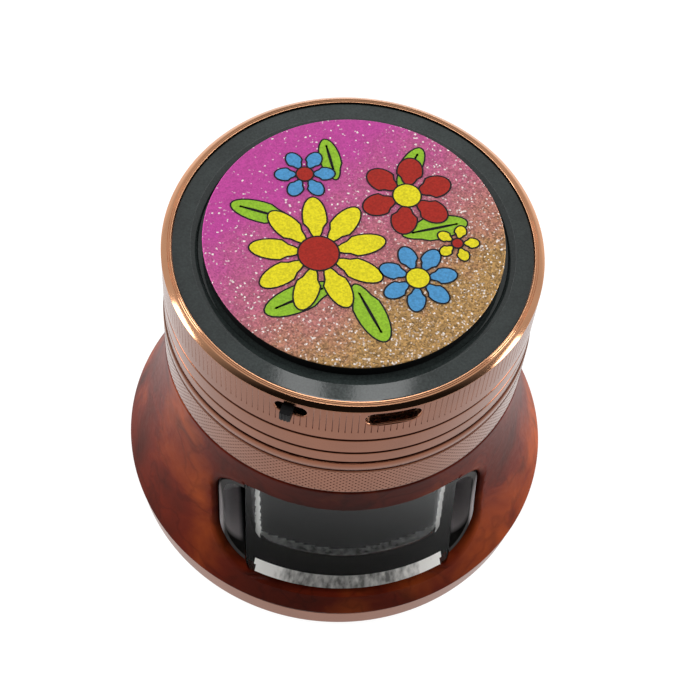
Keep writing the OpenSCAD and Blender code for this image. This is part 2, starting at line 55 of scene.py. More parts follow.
bl_info = {
    "name": "Hand-turned grinder",
    "version": (1, 0, 0),
    "blender": (4, 5, 0),
    "location": "View3D > Sidebar > Grinder",
    "description": "Builds the visible pieces of a grinder around its packed parts",
    "category": "Object",
}

MM = 0.001
MERGE = 1e-6
FULL = 2 * math.pi
SHARP = math.radians(32)
BEVEL_ANGLE = math.radians(40)
# How near, in millimetres, a vertex or face is to a place that is looked for
NEAR, HAIR = 0.05, 0.01
# Places round the lid, in degrees from the front towards the right, and slots as width and height
PORT_ANGLE, SWITCH_ANGLE = 8, -21.8
PORT_SLOT, SWITCH_SLOT = (8.8, 3.2), (5.2, 2.4)


# ---------------------------------------------------------------- values

def edge(node, corner, axis):
    """A side of a part's box at rest, in millimetres: corner 0 is low and 1 is high."""
    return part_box(node)[corner][axis] / MM


def length(name, size, about):
    """A length property, from millimetres."""
    return FloatProperty(name=name, description=about, default=size * MM, unit="LENGTH",
                         precision=5, min=-1, max=1)


def linear(text):
    """An sRGB hex colour as linear red, green, blue and alpha."""
    parts = [int(text[i:i + 2], 16) / 255 for i in (1, 3, 5)]
    return [p / 12.92 if p <= 0.04045 else ((p + 0.055) / 1.055) ** 2.4 for p in parts] + [1.0]


def colour(name, text, about):
    """A colour property, from an sRGB hex value."""
    return FloatVectorProperty(name=name, description=about, default=linear(text), size=4,
                               subtype="COLOR", min=0, max=1)


def keys(group):
    """The names of a group's own properties."""
    return [n for n in group.bl_rna.properties.keys() if n not in ("rna_type", "name")]


def sizes(name):
    """A group's lengths in millimetres, by the group's name."""
    group = getattr(bpy.context.scene, "grinder_" + name)
    return SimpleNamespace(**{n: getattr(group, n) / MM for n in keys(group)})


class LidSizes(PropertyGroup):
    radius: length("Radius", edge("lid_shell", 1, 0) - 0.25, "Outer radius of the wall")
    low: length("Foot", edge("lid_shell", 0, 2), "Height of the lower edge")
    high: length("Top", edge("lid_shell", 1, 2), "Height of the lip's inner edge")
    under: length("Underside", edge("lid_post", 1, 2), "Height of the inner ceiling")
    pocket: length("Pocket floor", 57.0, "Height of the pocket's floor")
    pocket_radius: length("Pocket radius", 28.3, "Radius of the electronics pocket")
    ledge: length("Ledge", 64.9, "Height of the ledge under the cover")
    lip_radius: length("Lip radius", 29.58, "Inner radius of the lip")
    lip_width: length("Lip width", 0.88, "Width of the lip's sloping top")
    lip_fall: length("Lip fall", 0.05, "How far the lip slopes down outwards")
    bevel: length("Bevel", 0.58, "Height of the bevel under the lip")
    bore: length("Bore", 29.28, "Radius of the bore that turns on the chamber")
    groove_width: length("Groove width", 0.5, "Width of the turned grooves")
    groove_depth: length("Groove depth", 0.35, "Depth of the turned grooves")
    groove_low: length("Lower groove", 52.7, "Height of the lower groove")
    groove_high: length("Upper groove", 56.9, "Height of the upper groove")
    flute_foot: length("Flute foot", 59.3, "Height where the fine flutes end")
    flute_width: length("Flute width", 0.16, "Width of the fine flutes")
    flute_depth: length("Flute depth", 0.1, "Depth of the fine flutes")
    band_edge: length("Band edge", 0.28, "Rounding of each band's upper edge")


class ChamberSizes(PropertyGroup):
    radius: length("Radius", edge("chamber_ring", 1, 0), "Outer radius of the pitted band")
    low: length("Shoulder", 39.25, "Height of the band's lower face")
    high: length("Band top", 49.25, "Height of the band's upper face")
    groove: length("Groove", 47.0, "Height of the band's groove")
    turn_radius: length("Turning radius", 29.2, "Radius of the spigot the lid turns on")
    turn_top: length("Turning top", edge("chamber_ring", 1, 2), "Height of that spigot's end")
    bore: length("Bore", 26.0, "Inner radius of the chamber")
    ledge: length("Ledge", edge("tooth_plate", 0, 2), "Height of the ledge under the floor")
    spigot_radius: length("Spigot radius", 26.0, "Radius of the screwed spigot")
    spigot_bore: length("Spigot bore", 23.6, "Inner radius of the screwed spigot")
    spigot_foot: length("Spigot foot", edge("chamber_ring", 0, 2), "Height of its end")
    thread_pitch: length("Thread pitch", 2.0, "Rise of the thread in one turn")
    thread_depth: length("Thread depth", 0.35, "Height of the thread")
    pit_depth: length("Pit depth", 0.12, "Depth of the small knurled pits")


class ShellSizes(PropertyGroup):
    foot: length("Foot", edge("horn_shell", 0, 2), "Height of the lower face")
    top: length("Rim", edge("horn_shell", 1, 2), "Height of the rim")
    neck: length("Neck radius", 31.6, "Outer radius at the rim")
    wide: length("Flare radius", 39.3, "Outer radius at the widest place")
    wide_at: length("Flare height", 6.4, "Height of the widest place")
    wall: length("Wall", 2.6, "Thickness of the shell")
    seat: length("Seat radius", 35.65, "Radius of the step on the base ring")
    edge_radius: length("Edge radius", 2.9, "Radius of the rounded lower edge")
    edge_centre: length("Edge centre", 7.0, "Height of that rounding's centre")
    window_width: length("Window width", 36.9, "Width of the drawer's opening")
    window_low: length("Window foot", 11.05, "Height of the opening's lower edge")
    window_high: length("Window top", 32.45, "Height of the opening's upper edge")
    window_corner: length("Window corner", 1.4, "Radius of its lower corners")
    scoop_width: length("Scoop width", 45.8, "Width across both finger scoops")
    scoop_low: length("Scoop foot", 12.0, "Height of the scoops' lower edge")
    scoop_high: length("Scoop top", 31.2, "Height of the scoops' upper edge")
    scoop_corner: length("Scoop corner", 6.0, "Corner radius of the scoops")
    scoop_edge: length("Scoop edge", 1.7, "Rounding of the wood around the scoops")
    window_edge: length("Window edge", 0.45, "Rounding of the wood around the drawer")
    ring_radius: length("Ring radius", edge("base_ring", 1, 0), "Outer radius of the base ring")
    ring_bore: length("Ring bore", 33.55, "Inner radius of the base ring")
    ring_step: length("Ring step", 35.15, "Radius of the step for the base plate")
    ring_step_top: length("Step top", 3.05, "Height of that step")
    ring_spigot: length("Ring spigot", 35.55, "Radius of the spigot in the shell")
    ring_top: length("Spigot top", edge("base_ring", 1, 2), "Height of that spigot's end")


class DrawerSizes(PropertyGroup):
    width: length("Width", 36.6, "Width of the drawer")
    low: length("Underside", edge("drawer", 0, 2), "Height of the underside")
    high: length("Top", edge("drawer", 1, 2), "Height of the rim")
    back: length("Back", edge("drawer", 1, 1), "Place of the back face")
    inset: length("Inset", 0.6, "How deep the front lies under the shell's surface")
    front: length("Front wall", 3.0, "Thickness of the front wall")
    side: length("Side wall", 1.6, "Thickness of the side walls")
    rear: length("Back wall", 3.0, "Thickness of the back wall")
    floor: length("Floor", 2.4, "Thickness of the floor")
    edge_radius: length("Lower edges", 1.4, "Radius of the long lower edges")
    magnet_radius: length("Magnet pocket", 3.05, "Radius of the magnet's pocket")
    magnet_depth: length("Magnet depth", 2.05, "Depth of the magnet's pocket")
    rim: length("Edge break", 0.3, "Size of the softened edges")


class BadgeSizes(PropertyGroup):
    cover_radius: length("Cover radius", edge("light_cover", 1, 0) + 0.1, "Radius of the light ring")
    cover_low: length("Cover foot", edge("light_cover", 0, 2), "Height of its underside")
    cover_high: length("Cover top", edge("light_cover", 1, 2), "Height of its flat rim")
    cover_rim: length("Cover rim", 26.5, "Inner radius of the flat rim")
    cover_inner: length("Cover step", 25.45, "Radius where the light ring steps down")
    cover_fall: length("Cover fall", 0.14, "How far the light ring slopes down inwards")
    cover_seat: length("Cover seat", edge("badge_carrier", 0, 2), "Height of its middle")
    carrier_radius: length("Carrier radius", edge("badge_carrier", 1, 0), "Radius of the carrier")
    disc_radius: length("Disc radius", edge("badge_disc", 1, 0), "Radius of the printed disc")
    disc_low: length("Disc foot", edge("badge_disc", 0, 2), "Height of the disc's underside")
    disc_high: length("Disc top", edge("badge_disc", 1, 2), "Height of the whole object")
    ink: length("Ink", 0.02, "Thickness of one printed layer")
    outline: length("Outline", 0.28, "Width of the print's dark outlines")


class Counts(PropertyGroup):
    knurls: IntProperty(name="Knurls", description="Flutes around the lid", default=192, min=24)
    softening: IntProperty(name="Softening", description="Smoothing steps of the drawer's hollow",
                           default=240, min=0)
    smooth: IntProperty(name="Smoothness", description="Segments of a plain turned piece",
                        default=256, min=32)


class Colours(PropertyGroup):
    # Set darker than the plating's own colour: partly painted shade, standing in for the darker surroundings
    # that the walls reflect
    metal: colour("Rose gold", "#885843", "Plating on the turned walls")
    lip: colour("Bright cut", "#DCA27C", "Freshly cut rose gold on the lip")
    burl_dark: colour("Burl, dark", "#2A0D07", "Darkest figure of the burl")
    burl_mid: colour("Burl, red", "#581A0C", "Middle tone of the burl")
    burl_light: colour("Burl, orange", "#96431A", "Lightest figure of the burl")
    smoke: colour("Smoked ring", "#333A39", "Smoked plastic over the lamps")
    print_cool: colour("Print, magenta", "#C0469A", "Cool end of the print's ground")
    print_mid: colour("Print, rose", "#B8667C", "Middle of the print's ground")
    print_warm: colour("Print, gold", "#AA8450", "Warm end of the print's ground")
    yellow: colour("Ink, yellow", "#E9DC1E", "Petals")
    red: colour("Ink, red", "#A8271C", "Petals and hearts")
    lime: colour("Ink, lime", "#94C22E", "Leaves")
    sky: colour("Ink, sky", "#4F97CC", "Small petals")
    dark: colour("Ink, dark", "#17161A", "Outlines")


# ---------------------------------------------------------------- modelling

def deselect():
    """Nothing selected, in object mode."""
    if bpy.context.mode != "OBJECT":
        leave()
    bpy.ops.object.select_all(action="DESELECT")


def activate(piece):
    """Only this piece selected and active."""
    deselect()
    bpy.context.view_layer.objects.active = piece
    piece.select_set(True)


def leave():
    """Back in object mode."""
    bpy.ops.object.mode_set(mode="OBJECT")


def edit_all():
    """The active piece in edit mode, with all of it selected."""
    bpy.ops.object.mode_set(mode="EDIT")
    bpy.ops.mesh.select_all(action="SELECT")


def pick(piece, kind, wanted=lambda item: True):
    """Selects the vertices, edges or faces that wanted says, and stays in edit mode."""
    activate(piece)
    bpy.ops.object.mode_set(mode="EDIT")
    bpy.ops.mesh.select_mode(type=kind)
    bpy.ops.mesh.select_all(action="DESELECT")
    leave()
    mesh = piece.data
    for item in {"VERT": mesh.vertices, "EDGE": mesh.edges, "FACE": mesh.polygons}[kind]:
        item.select = wanted(item)
    bpy.ops.object.mode_set(mode="EDIT")


def pull(y=0, z=0):
    """Extrudes what is selected, by millimetres."""
    bpy.ops.mesh.extrude_region_move(TRANSFORM_OT_translate={"value": (0, y * MM, z * MM)})


def resize(x, y, z, height=0):
    """Resizes what is selected about the axis at a height in millimetres."""
    bpy.ops.transform.resize(value=(x, y, z), center_override=(0, 0, height * MM))


def bevel(size, segments, affect="EDGES"):
    """Bevels what is selected and goes back to object mode."""
    bpy.ops.mesh.bevel(offset=size * MM, segments=segments, affect=affect, clamp_overlap=False)
    leave()


def outwards():
    """Turns the faces of the piece in edit mode outwards and goes back to object mode."""
    bpy.ops.mesh.select_all(action="SELECT")
    bpy.ops.mesh.normals_make_consistent(inside=False)
    leave()


def close(piece):
    """Merges doubles, turns the faces outwards and shades the piece."""
    activate(piece)
    edit_all()
    bpy.ops.mesh.remove_doubles(threshold=MERGE)
    outwards()
    smooth()


def smooth():
    """Shades the selected piece smooth, apart from its sharp edges."""
    bpy.ops.object.shade_smooth_by_angle(angle=SHARP)


def named(piece, name):
    piece.name = piece.data.name = name
    return piece


def reach(p):
    """How far a point is from the upright axis."""
    return math.hypot(p.x, p.y)


def rounded(corners, steps=3):
    """A profile in (radius, height), with a rounding as a corner's third number."""
    path = []
    for before, corner, after in zip(corners[-1:] + corners[:-1], corners, corners[1:] + corners[:1]):
        here = Vector(corner[:2])
        if len(corner) == 2 or not corner[2]:
            path.append(here)
            continue
        to_before = (Vector(before[:2]) - here).normalized()
        to_after = (Vector(after[:2]) - here).normalized()
        half = to_before.angle(to_after) / 2
        centre = here + (to_before + to_after).normalized() * corner[2] / math.sin(half)
        first = here + to_before * corner[2] / math.tan(half) - centre
        last = here + to_after * corner[2] / math.tan(half) - centre
        for i in range(steps + 1):
            path.append(centre + first.lerp(last, i / steps).normalized() * corner[2])
    return path


def arc(centre, radius, start, end, steps):
    """Points on a circle in (radius, height), between two angles in degrees."""
    angles = [math.radians(start + (end - start) * i / steps) for i in range(steps + 1)]
    return [(centre[0] + radius * math.cos(a), centre[1] + radius * math.sin(a)) for a in angles]


def turned(name, corners, ring=True, steps=0, arcs=3):
    """Turns a profile round the upright axis: an eighth by spin, then doubled three times."""
    steps = steps or bpy.context.scene.grinder_counts.smooth
    deselect()
    bpy.ops.mesh.primitive_plane_add(size=MM)
    piece = named(bpy.context.object, name)
    bpy.ops.object.mode_set(mode="EDIT")
    bpy.ops.mesh.select_mode(type="VERT")
    bpy.ops.mesh.merge(type="CENTER")
    path = [p * MM for p in rounded(corners, arcs)]
    if ring:
        path.append(path[0])
    bpy.ops.transform.translate(value=(path[0].x, 0, path[0].y))
    for here, there in zip(path, path[1:]):
        step = there - here
        bpy.ops.mesh.extrude_vertices_move(TRANSFORM_OT_translate={"value": (step.x, 0, step.y)})
    bpy.ops.mesh.select_all(action="SELECT")
    bpy.ops.mesh.spin(steps=steps // 8, angle=FULL / 8, center=(0, 0, 0), axis=(0, 0, 1))
    for part in (8, 4, 2):
        bpy.ops.mesh.select_all(action="SELECT")
        bpy.ops.mesh.duplicate()
        bpy.ops.transform.rotate(value=FULL / part, orient_axis="Z", center_override=(0, 0, 0))
    close(piece)
    return piece


def block(name, low, high, rounding=0, wanted=None):
    """A block between two corners; its edges along Y are rounded where wanted says."""
    deselect()
    low, high = Vector(low) * MM, Vector(high) * MM
    bpy.ops.mesh.primitive_cube_add(size=1, location=(low + high) / 2, scale=high - low)
    piece = named(bpy.context.object, name)
    bpy.ops.object.transform_apply()
    if rounding:
        points = piece.data.vertices

        def found(item):
            a, b = (points[i].co for i in item.vertices)
            return abs((b - a).normalized().y) > 0.999 and wanted((a + b) / 2 / MM)

        pick(piece, "EDGE", found)
        bevel(rounding, 6)
        edit_all()
        bpy.ops.mesh.remove_doubles(threshold=MERGE)
        leave()
    return piece


def upright_grid(name, middle, size, cells):
    """A grid of faces that stands across the view, left in edit mode with all of it selected."""
    deselect()
    bpy.ops.mesh.primitive_grid_add(x_subdivisions=cells[0], y_subdivisions=cells[1], size=1)
    piece = named(bpy.context.object, name)
    edit_all()
    bpy.ops.transform.rotate(value=-math.pi / 2, orient_axis="X", center_override=(0, 0, 0))
    resize(size[0] * MM, 1, size[1] * MM)
    bpy.ops.transform.translate(value=Vector(middle) * MM)
    return piece


def apply(piece, kind, **settings):
    """Adds a modifier with its settings and applies it."""
    activate(piece)
    made = piece.modifiers.new(kind.title(), kind)
    for name, value in settings.items():
        setattr(made, name, value)
    bpy.ops.object.modifier_apply(modifier=made.name)


def soften(piece, width):
    """Breaks the sharp edges of a piece with a narrow bevel and shades it."""
    apply(piece, "BEVEL", width=width * MM, segments=2, limit_method="ANGLE", angle_limit=BEVEL_ANGLE,
          use_clamp_overlap=True)
    smooth()


def cut(piece, *tools, operation="DIFFERENCE"):
    """Cuts a piece with closed tools, which are then removed."""
    for tool in tools:
        apply(piece, "BOOLEAN", object=tool, operation=operation, solver="MANIFOLD")
        bpy.data.objects.remove(tool)
    piece.data.materials.clear()


def moved(piece, degrees, x=0, y=0):
    """Turns a piece about the upright axis, from the front towards the right, then shifts it."""
    activate(piece)
    piece.rotation_euler.z = math.radians(degrees)
    piece.location = (x * MM, y * MM, 0)
    bpy.ops.object.transform_apply()
    return piece


def join(name, *pieces):
    """Several pieces as one object."""
    activate(pieces[0])
    for piece in pieces[1:]:
        piece.select_set(True)
    bpy.ops.object.join()
    return named(pieces[0], name)


def paint(piece, finish_name, wanted=None):
    """Gives a piece a finish, or only the faces that wanted says by centre (mm) and normal."""
    piece.data.materials.append(finish(finish_name))
    if wanted:
        for face in piece.data.polygons:
            if wanted(face.center / MM, face.normal):
                face.material_index = len(piece.data.materials) - 1


def settle(piece, body, slot, *nodes):
    """Keeps the flats flat in the shading; the piece then moves with its body and stands for its parts."""
    apply(piece, "WEIGHTED_NORMAL", keep_sharp=True)
    deselect()
    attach(piece, body)
    if nodes:
        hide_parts(*nodes)


# ---------------------------------------------------------------- finishes

def feed(socket, value):
    """Links an input to its source, or sets its value."""
    if isinstance(value, NodeSocket):
        socket.id_data.links.new(value, socket)
    else:
        socket.default_value = value


def shade_of(text, factor=1.0):
    """A colour from its hex value or its name in the scene, made darker or lighter."""
    base = linear(text) if text[0] == "#" else getattr(bpy.context.scene.grinder_colours, text)
    return [min(1, c * factor) for c in base[:3]] + [1]


class Nodes:
    """Adds nodes to one tree; each method gives an output to go on from."""

    def __init__(self, tree):
        self.tree = tree

    def add(self, kind, settings=None, out=0):
        """Adds a node; settings are its own values, and the values or sources of its inputs."""
        made = self.tree.nodes.new("ShaderNode" + kind)
        for name, value in (settings or {}).items():
            if isinstance(name, str) and hasattr(made, name):
                setattr(made, name, value)
            else:
                feed(made.inputs[name], value)
        return made.outputs[out]

    def place(self):
        """Where a point is on the object, in millimetres."""
        here = self.add("TexCoord", out="Object")
        return self.add("VectorMath", {"operation": "SCALE", "Scale": 1 / MM, 0: here})

    def times(self, where, factors):
        """A place with each coordinate multiplied."""
        return self.add("VectorMath", {"operation": "MULTIPLY", 0: where, 1: factors})

    def lathe_place(self):
        """Radius and height in millimetres, so that a pattern on it runs round the axis."""
        here = self.place()
        radius = self.add("VectorMath", {"operation": "LENGTH", 0: self.times(here, (1, 1, 0))}, "Value")
        return self.add("CombineXYZ", {"X": radius, "Y": self.add("SeparateXYZ", {0: here}, "Z")})

    def noise(self, where, size, detail, settings=None, out=0):
        """Noise with figures of a size in millimetres."""
        return self.add("TexNoise", {**(settings or {}), "Scale": 1 / size, "Detail": detail,
                                     "Vector": where}, out)

    def math(self, operation, *terms, **settings):
        """A step of arithmetic on numbers and sockets."""
        return self.add("Math", {"operation": operation, **settings, **dict(enumerate(terms))})

    def span(self, value, low, high, start=0.0, end=1.0, **settings):
        """A value taken from one range to another."""
        return self.add("MapRange", {**settings, "From Min": start, "From Max": end, "To Min": low,
                                     "To Max": high, "Value": value})

    def mix(self, share, first, second):
        """A number between two."""
        return self.add("Mix", {"data_type": "FLOAT", 0: share, 2: first, 3: second})

    def blend(self, share, first, second, how="MIX"):
        """A colour between two, or another blend of them."""
        return self.add("Mix", {"data_type": "RGBA", "blend_type": how, 0: share, 6: first, 7: second}, 2)

    def ramp(self, value, *stops):
        """Colours by value; each stop is a value, a colour and perhaps its factor."""
        tone = self.add("ValToRGB", {"Fac": value})
        made = tone.node.color_ramp.elements
        for at, *shade in stops[2:]:
            made.new(at)
        for stop, (at, *shade) in zip(made, stops):
            stop.position, stop.color = at, shade_of(*shade)
        return tone

    def bump(self, height, depth):
        """A surface raised by up to a depth in millimetres."""
        return self.add("Bump", {"Strength": 1.0, "Distance": depth * MM, "Height": height})


def shaded(name, nodes_of, **sockets):
    """The maker of a material on the Principled shader; nodes_of gives what is linked to it."""

    def make():
        made = bpy.data.materials.new(name)
        made.use_nodes = True
        inputs = made.node_tree.nodes["Principled BSDF"].inputs
        for socket, value in {**sockets, **nodes_of(Nodes(made.node_tree))}.items():
            feed(inputs[socket.replace("_", " ")], value)
        return made

    return make


def turned_metal(name, tone, rough, ring, depth):
    """Turned and plated aluminium: fine rings left by the tool, and a soft sheen."""

    def nodes_of(t):
        rings = t.noise(t.lathe_place(), ring, 3.0, {"noise_dimensions": "2D"})
        patches = t.noise(t.place(), 9, 4.0)
        return {"Base Color": t.ramp(patches, (0.3, tone, 0.86), (0.7, tone)),
                "Roughness": t.span(rings, *rough), "Normal": t.bump(rings, depth)}

    return shaded(name, nodes_of, Metallic=1.0)


def moulded(name, tone, rough=0.4, grain=0.35, depth=0.006, Specular_IOR_Level=0.3, **sockets):
    """Injection-moulded plastic: a faint spark-eroded grain and slightly uneven tone."""

    def nodes_of(t):
        where = t.place()
        fine, broad = t.noise(where, grain, 2.0), t.noise(where, 12, 3.0)
        return {"Base Color": t.ramp(broad, (0.3, tone, 0.8), (0.7, tone, 1.15)),
                "Roughness": t.span(fine, rough - 0.06, rough + 0.06), "Normal": t.bump(fine, depth)}

    return shaded(name, nodes_of, Specular_IOR_Level=Specular_IOR_Level, **sockets)


def metal(name, tone, rough=0.28, grain=0.4, depth=0.004):
    """Plain finished metal with a fine random grain."""
    return moulded(name, tone, rough, grain, depth, 0.5, Metallic=1.0)


def burl(t):
    """Burl rosewood under a satin lacquer: smoky figure, small eyes and dark veins."""
    where = t.place()
    drift = t.noise(where, 26, 2.0)
    push = t.noise(where, 17, 2.0, out="Color")
    swept = t.add("VectorMath", {"operation": "MULTIPLY_ADD", 0: push, 1: (14, 14, 14), 2: where})
    figure = t.noise(swept, 13, 6.0, {"Roughness": 0.5, "Distortion": 0.4})
    tone = t.ramp(t.mix(0.5, figure, drift), (0.32, "burl_dark"), (0.5, "burl_mid"), (0.7, "burl_light"))
    veins = t.noise(swept, 8, 3.0, {"Roughness": 0.45})
    vein = t.span(t.math("ABSOLUTE", t.math("SUBTRACT", veins, 0.5)), 0.78, 1.0, 0.0, 0.04)
    eyes = t.add("TexVoronoi", {"Scale": 1 / 11, "Vector": swept}, "Distance")
    shadowed = t.math("MULTIPLY", vein, t.span(eyes, 0.6, 1.0, 0.04, 0.26))
    pores = t.noise(swept, 0.9, 3.0)
    return {"Base Color": t.blend(1.0, tone, shadowed, "MULTIPLY"),
            "Roughness": t.span(pores, 0.3, 0.46), "Normal": t.bump(pores, 0.01)}


def flow(t):
    """A trace of flow in the surface of clear moulded acrylic."""
    return {"Normal": t.bump(t.noise(t.place(), 7, 1.0), 0.05)}


def painted_light_streaks(t):
    """Pale parts of the clear drawer, streaked upright: painted light standing in for light carried through
    the clear acrylic, brighter towards both ends as a painted highlight.
    """
    here = t.times(t.place(), (1, 1, 0.22))
    aside = t.math("ABSOLUTE", t.add("SeparateXYZ", {0: here}, "X"))
    # Painted highlight: lighter towards both ends of the drawer's foot
    ends = t.span(aside, -0.12, 0.4, 8.0, 16.5, interpolation_type="SMOOTHSTEP")
    both = t.math("ADD", t.noise(here, 1.1, 3.0), ends)
    return {"Base Color": t.ramp(both, (0.25, "#5C5B58"), (0.72, "#FAF8F3"))}


def frosted(name, through):
    """Milky acrylic that lets a share of the light through; its pale, streaked colour is painted light."""
    return shaded(name, painted_light_streaks, Roughness=0.35, IOR=1.49, Transmission_Weight=through,
                  Specular_IOR_Level=0.3)


def smoked(t):
    """Smoked acrylic over the lamps: dark, satin, with fine speckles that catch the light."""
    where = t.place()
    specks, cloud = t.noise(where, 0.32, 2.0), t.noise(where, 6, 4.0)
    return {"Base Color": t.ramp(t.mix(0.6, cloud, specks), (0.35, "smoke", 0.7), (0.65, "smoke", 1.35)),
            "Roughness": t.span(specks, 0.03, 0.08), "Normal": t.bump(specks, 0.0015)}


def glitter(t):
    """Printed film with glitter: magenta fading to gold, under a satin laminate; the lightest flakes carry a
    painted glint.
    """
    where = t.place()
    across = t.add("VectorMath", {"operation": "DOT_PRODUCT", 0: where, 1: (0.012, -0.017, 0)}, "Value")
    way = t.math("MULTIPLY_ADD", t.noise(where, 7, 6.0, {"Roughness": 0.7}), 0.35, across)
    way = t.math("ADD", way, 0.33)
    ground = t.ramp(way, (0.2, "print_cool"), (0.52, "print_mid"), (0.85, "print_warm"))
    flakes = t.add("TexVoronoi", {"Scale": 1 / 0.27, "Vector": where}, "Color")
    lottery = t.add("SeparateColor", {0: flakes}).node.outputs
    low = t.span(way, 0.85, 0.45, 0.2, 0.8)
    tone = t.span(lottery["Red"], low, t.math("SUBTRACT", 2.0, low))
    ground = t.blend(1.0, ground, tone, "MULTIPLY")
    # The flakes are real glitter; their near-white colour is a painted glint standing in for flakes catching
    # the light, more of them towards the gold end
    bright = t.math("GREATER_THAN", lottery["Green"], t.span(way, 0.97, 0.87, 0.2, 0.9))
    bright = t.math("MULTIPLY", bright, lottery["Blue"])
    return {"Base Color": t.blend(bright, ground, (0.95, 0.88, 0.84, 1)),
            "Normal": t.bump(lottery["Blue"], 0.02)}


def ink(name):
    """Screen-printed ink on textured film: a fine dotted grain in an even colour."""

    def nodes_of(t):
        grain = t.noise(t.place(), 0.35, 2.0)
        return {"Base Color": t.ramp(grain, (0.35, name, 0.82), (0.65, name, 1.12)),
                "Normal": t.bump(grain, 0.01)}

    return shaded("ink_" + name, nodes_of, Roughness=0.5, Specular_IOR_Level=0.2)


def housing(t):
    """Moulded ABS of the drawer housing: grey finger cups, their pale tone partly a painted sheen, and
    painted shade, near black, over the bay inside and along the cups' front rim.
    """
    where = t.place()
    grain = t.noise(where, 0.4, 2.0)
    axes = t.add("SeparateXYZ", {0: where}).node.outputs
    # Painted shade: near black in the bay between the cups and on a strip along their front rim; the cups'
    # pale grey is partly a painted sheen
    cups = t.span(t.math("ABSOLUTE", axes["X"]), 0.0, 1.0, 18.6, 19.4)
    deep = t.span(t.math("MULTIPLY_ADD", axes["Z"], -0.38, axes["Y"]), 0.0, 1.0, -32.6, -31.4)
    return {"Base Color": t.blend(t.math("MULTIPLY", cups, deep), linear("#232120"), linear("#DED5D7")),
            "Roughness": t.span(grain, 0.3, 0.42), "Normal": t.bump(grain, 0.002)}


FINISHES = {
    # Rose-gold plating over turned aluminium: pinkish brown, softly bright. Its colour is set darker than
    # the plating's own: partly painted shade, for the darker surroundings that the walls reflect
    "rose_gold": turned_metal("rose_gold_plate", "metal", (0.16, 0.26), 0.22, 0.003),
    # Rose gold cut with a diamond tool after plating: clearer and brighter
    "bright_cut": turned_metal("bright_cut_rose_gold", "lip", (0.08, 0.16), 0.12, 0.002),
    # Machined inside of the plated aluminium, less polished than the outside
    "inner_metal": turned_metal("machined_rose_gold", "#A87A62", (0.22, 0.36), 0.3, 0.005),
    # Slots milled through the wall: coarse, so that the light breaks up in them
    "milled": metal("slot_milled_rose_gold", "#C08A6C", 0.2, 0.45, 0.12),
    # Milled teeth with a slightly coarser grain
    "tooth_metal": metal("milled_rose_gold", "#B58A70", 0.3),
    "burl": shaded("burl_lacquer", burl, Specular_IOR_Level=0.03, Coat_Weight=0.03,
                   Coat_Roughness=0.12, Coat_IOR=1.5),
    # Clear moulded acrylic, faintly grey; a low index and a dark tint keep its own reflection down
    "clear": shaded("clear_acrylic", flow, Base_Color=linear("#DDE0E0"), Transmission_Weight=1.0,
                    Roughness=0.0, IOR=1.22, Specular_IOR_Level=0.03, Specular_Tint=(0.12, 0.12, 0.12, 1)),
    # The drawer's painted light: a pale solid foot standing in for light carried through the clear acrylic,
    # and a painted highlight on the fillets of its hollow
    "frosted": frosted("frosted_acrylic", 0.1),
    "fillet": frosted("polished_acrylic_fillet", 0.3),
    "smoked": shaded("smoked_acrylic", smoked, IOR=1.5),
    "print": shaded("glitter_print", glitter, Roughness=0.5, Specular_IOR_Level=0.2, Coat_Weight=0.05,
                    Coat_Roughness=0.2),
    **{"ink_" + name: ink(name) for name in ("yellow", "red", "lime", "sky", "dark")},
    # Grey ABS of the drawer housing, with painted shade in its bay and along the cups' rim
    "housing": shaded("grey_abs", housing, Specular_IOR_Level=0.12),
    # Black ABS of the carrier, the knob and the switch: satin and nearly without reflection
    "black": moulded("black_abs", "#080809", 0.5, Specular_IOR_Level=0.15),
    # Powder-coated steel plate: a fine orange peel
    "coated": moulded("powder_coat", "#26241F", 0.5, 0.5, 0.02),
    # Moulded rubber, matt with a soft grain
    "rubber": moulded("moulded_rubber", "#17171A", 0.75, 0.6, 0.02),
    # Zinc-plated steel screws
    "zinc": metal("zinc_steel", "#B9BBBE", 0.3),
    # Nickel-plated magnets
    "nickel": metal("nickel_plate", "#C9C7C1", 0.16, 0.8),
    # Stamped stainless shell of the charge port
    "stainless": metal("stamped_stainless", "#A8A9AA", 0.26),
    # PTFE glide ring: waxy white
    "ptfe": moulded("ptfe", "#E8E6DF", 0.45, 0.8, 0.006, Subsurface_Weight=0.1),
    # Solder mask on glass fibre
    "board": moulded("solder_mask", "#14502E", 0.3, 0.7, 0.01, Coat_Weight=0.4),
    # Phosphor face of the lamps
    "lamp": moulded("lamp_phosphor", "#E8E3A0", 0.4, 0.5, 0.01),
    # Aluminium-laminate pouch of the cell
    "pouch": metal("pouch_foil", "#9DA3A8", 0.34, 2.5, 0.08),
    # PVC insulation on the leads
    "lead_red": moulded("red_pvc", "#A81E16", 0.4),
    "lead_black": moulded("black_pvc", "#141416", 0.4),
}
MADE = {}


def finish(name):
    """A finish by its key, made the first time that it is asked for."""
    if name not in MADE:
        MADE[name] = FINISHES[name]()
    return MADE[name]


# ---------------------------------------------------------------- pieces

def groove(radius, height, sizes, soft=0.06):
    """The corners of one turned groove, from the band below it to the band above."""
    half, floor = sizes.groove_width / 2, radius - sizes.groove_depth
    return [(radius, height - half, sizes.band_edge), (floor, height - half),
            (floor, height + half), (radius, height + half, soft)]


def wrap(piece, path, wanted):
    """Lays the vertices that wanted says on a turned surface, straight back from the front."""
    guide = turned("guide", path, False, 256)
    group = piece.vertex_groups.new(name="wrapped")
    group.add([v.index for v in piece.data.vertices if wanted(v.co / MM)], 1.0, "REPLACE")
    apply(piece, "SHRINKWRAP", target=guide, wrap_method="PROJECT", use_project_y=True,
          use_positive_direction=True, use_negative_direction=False, vertex_group=group.name)
    bpy.data.objects.remove(guide)
    piece.vertex_groups.clear()


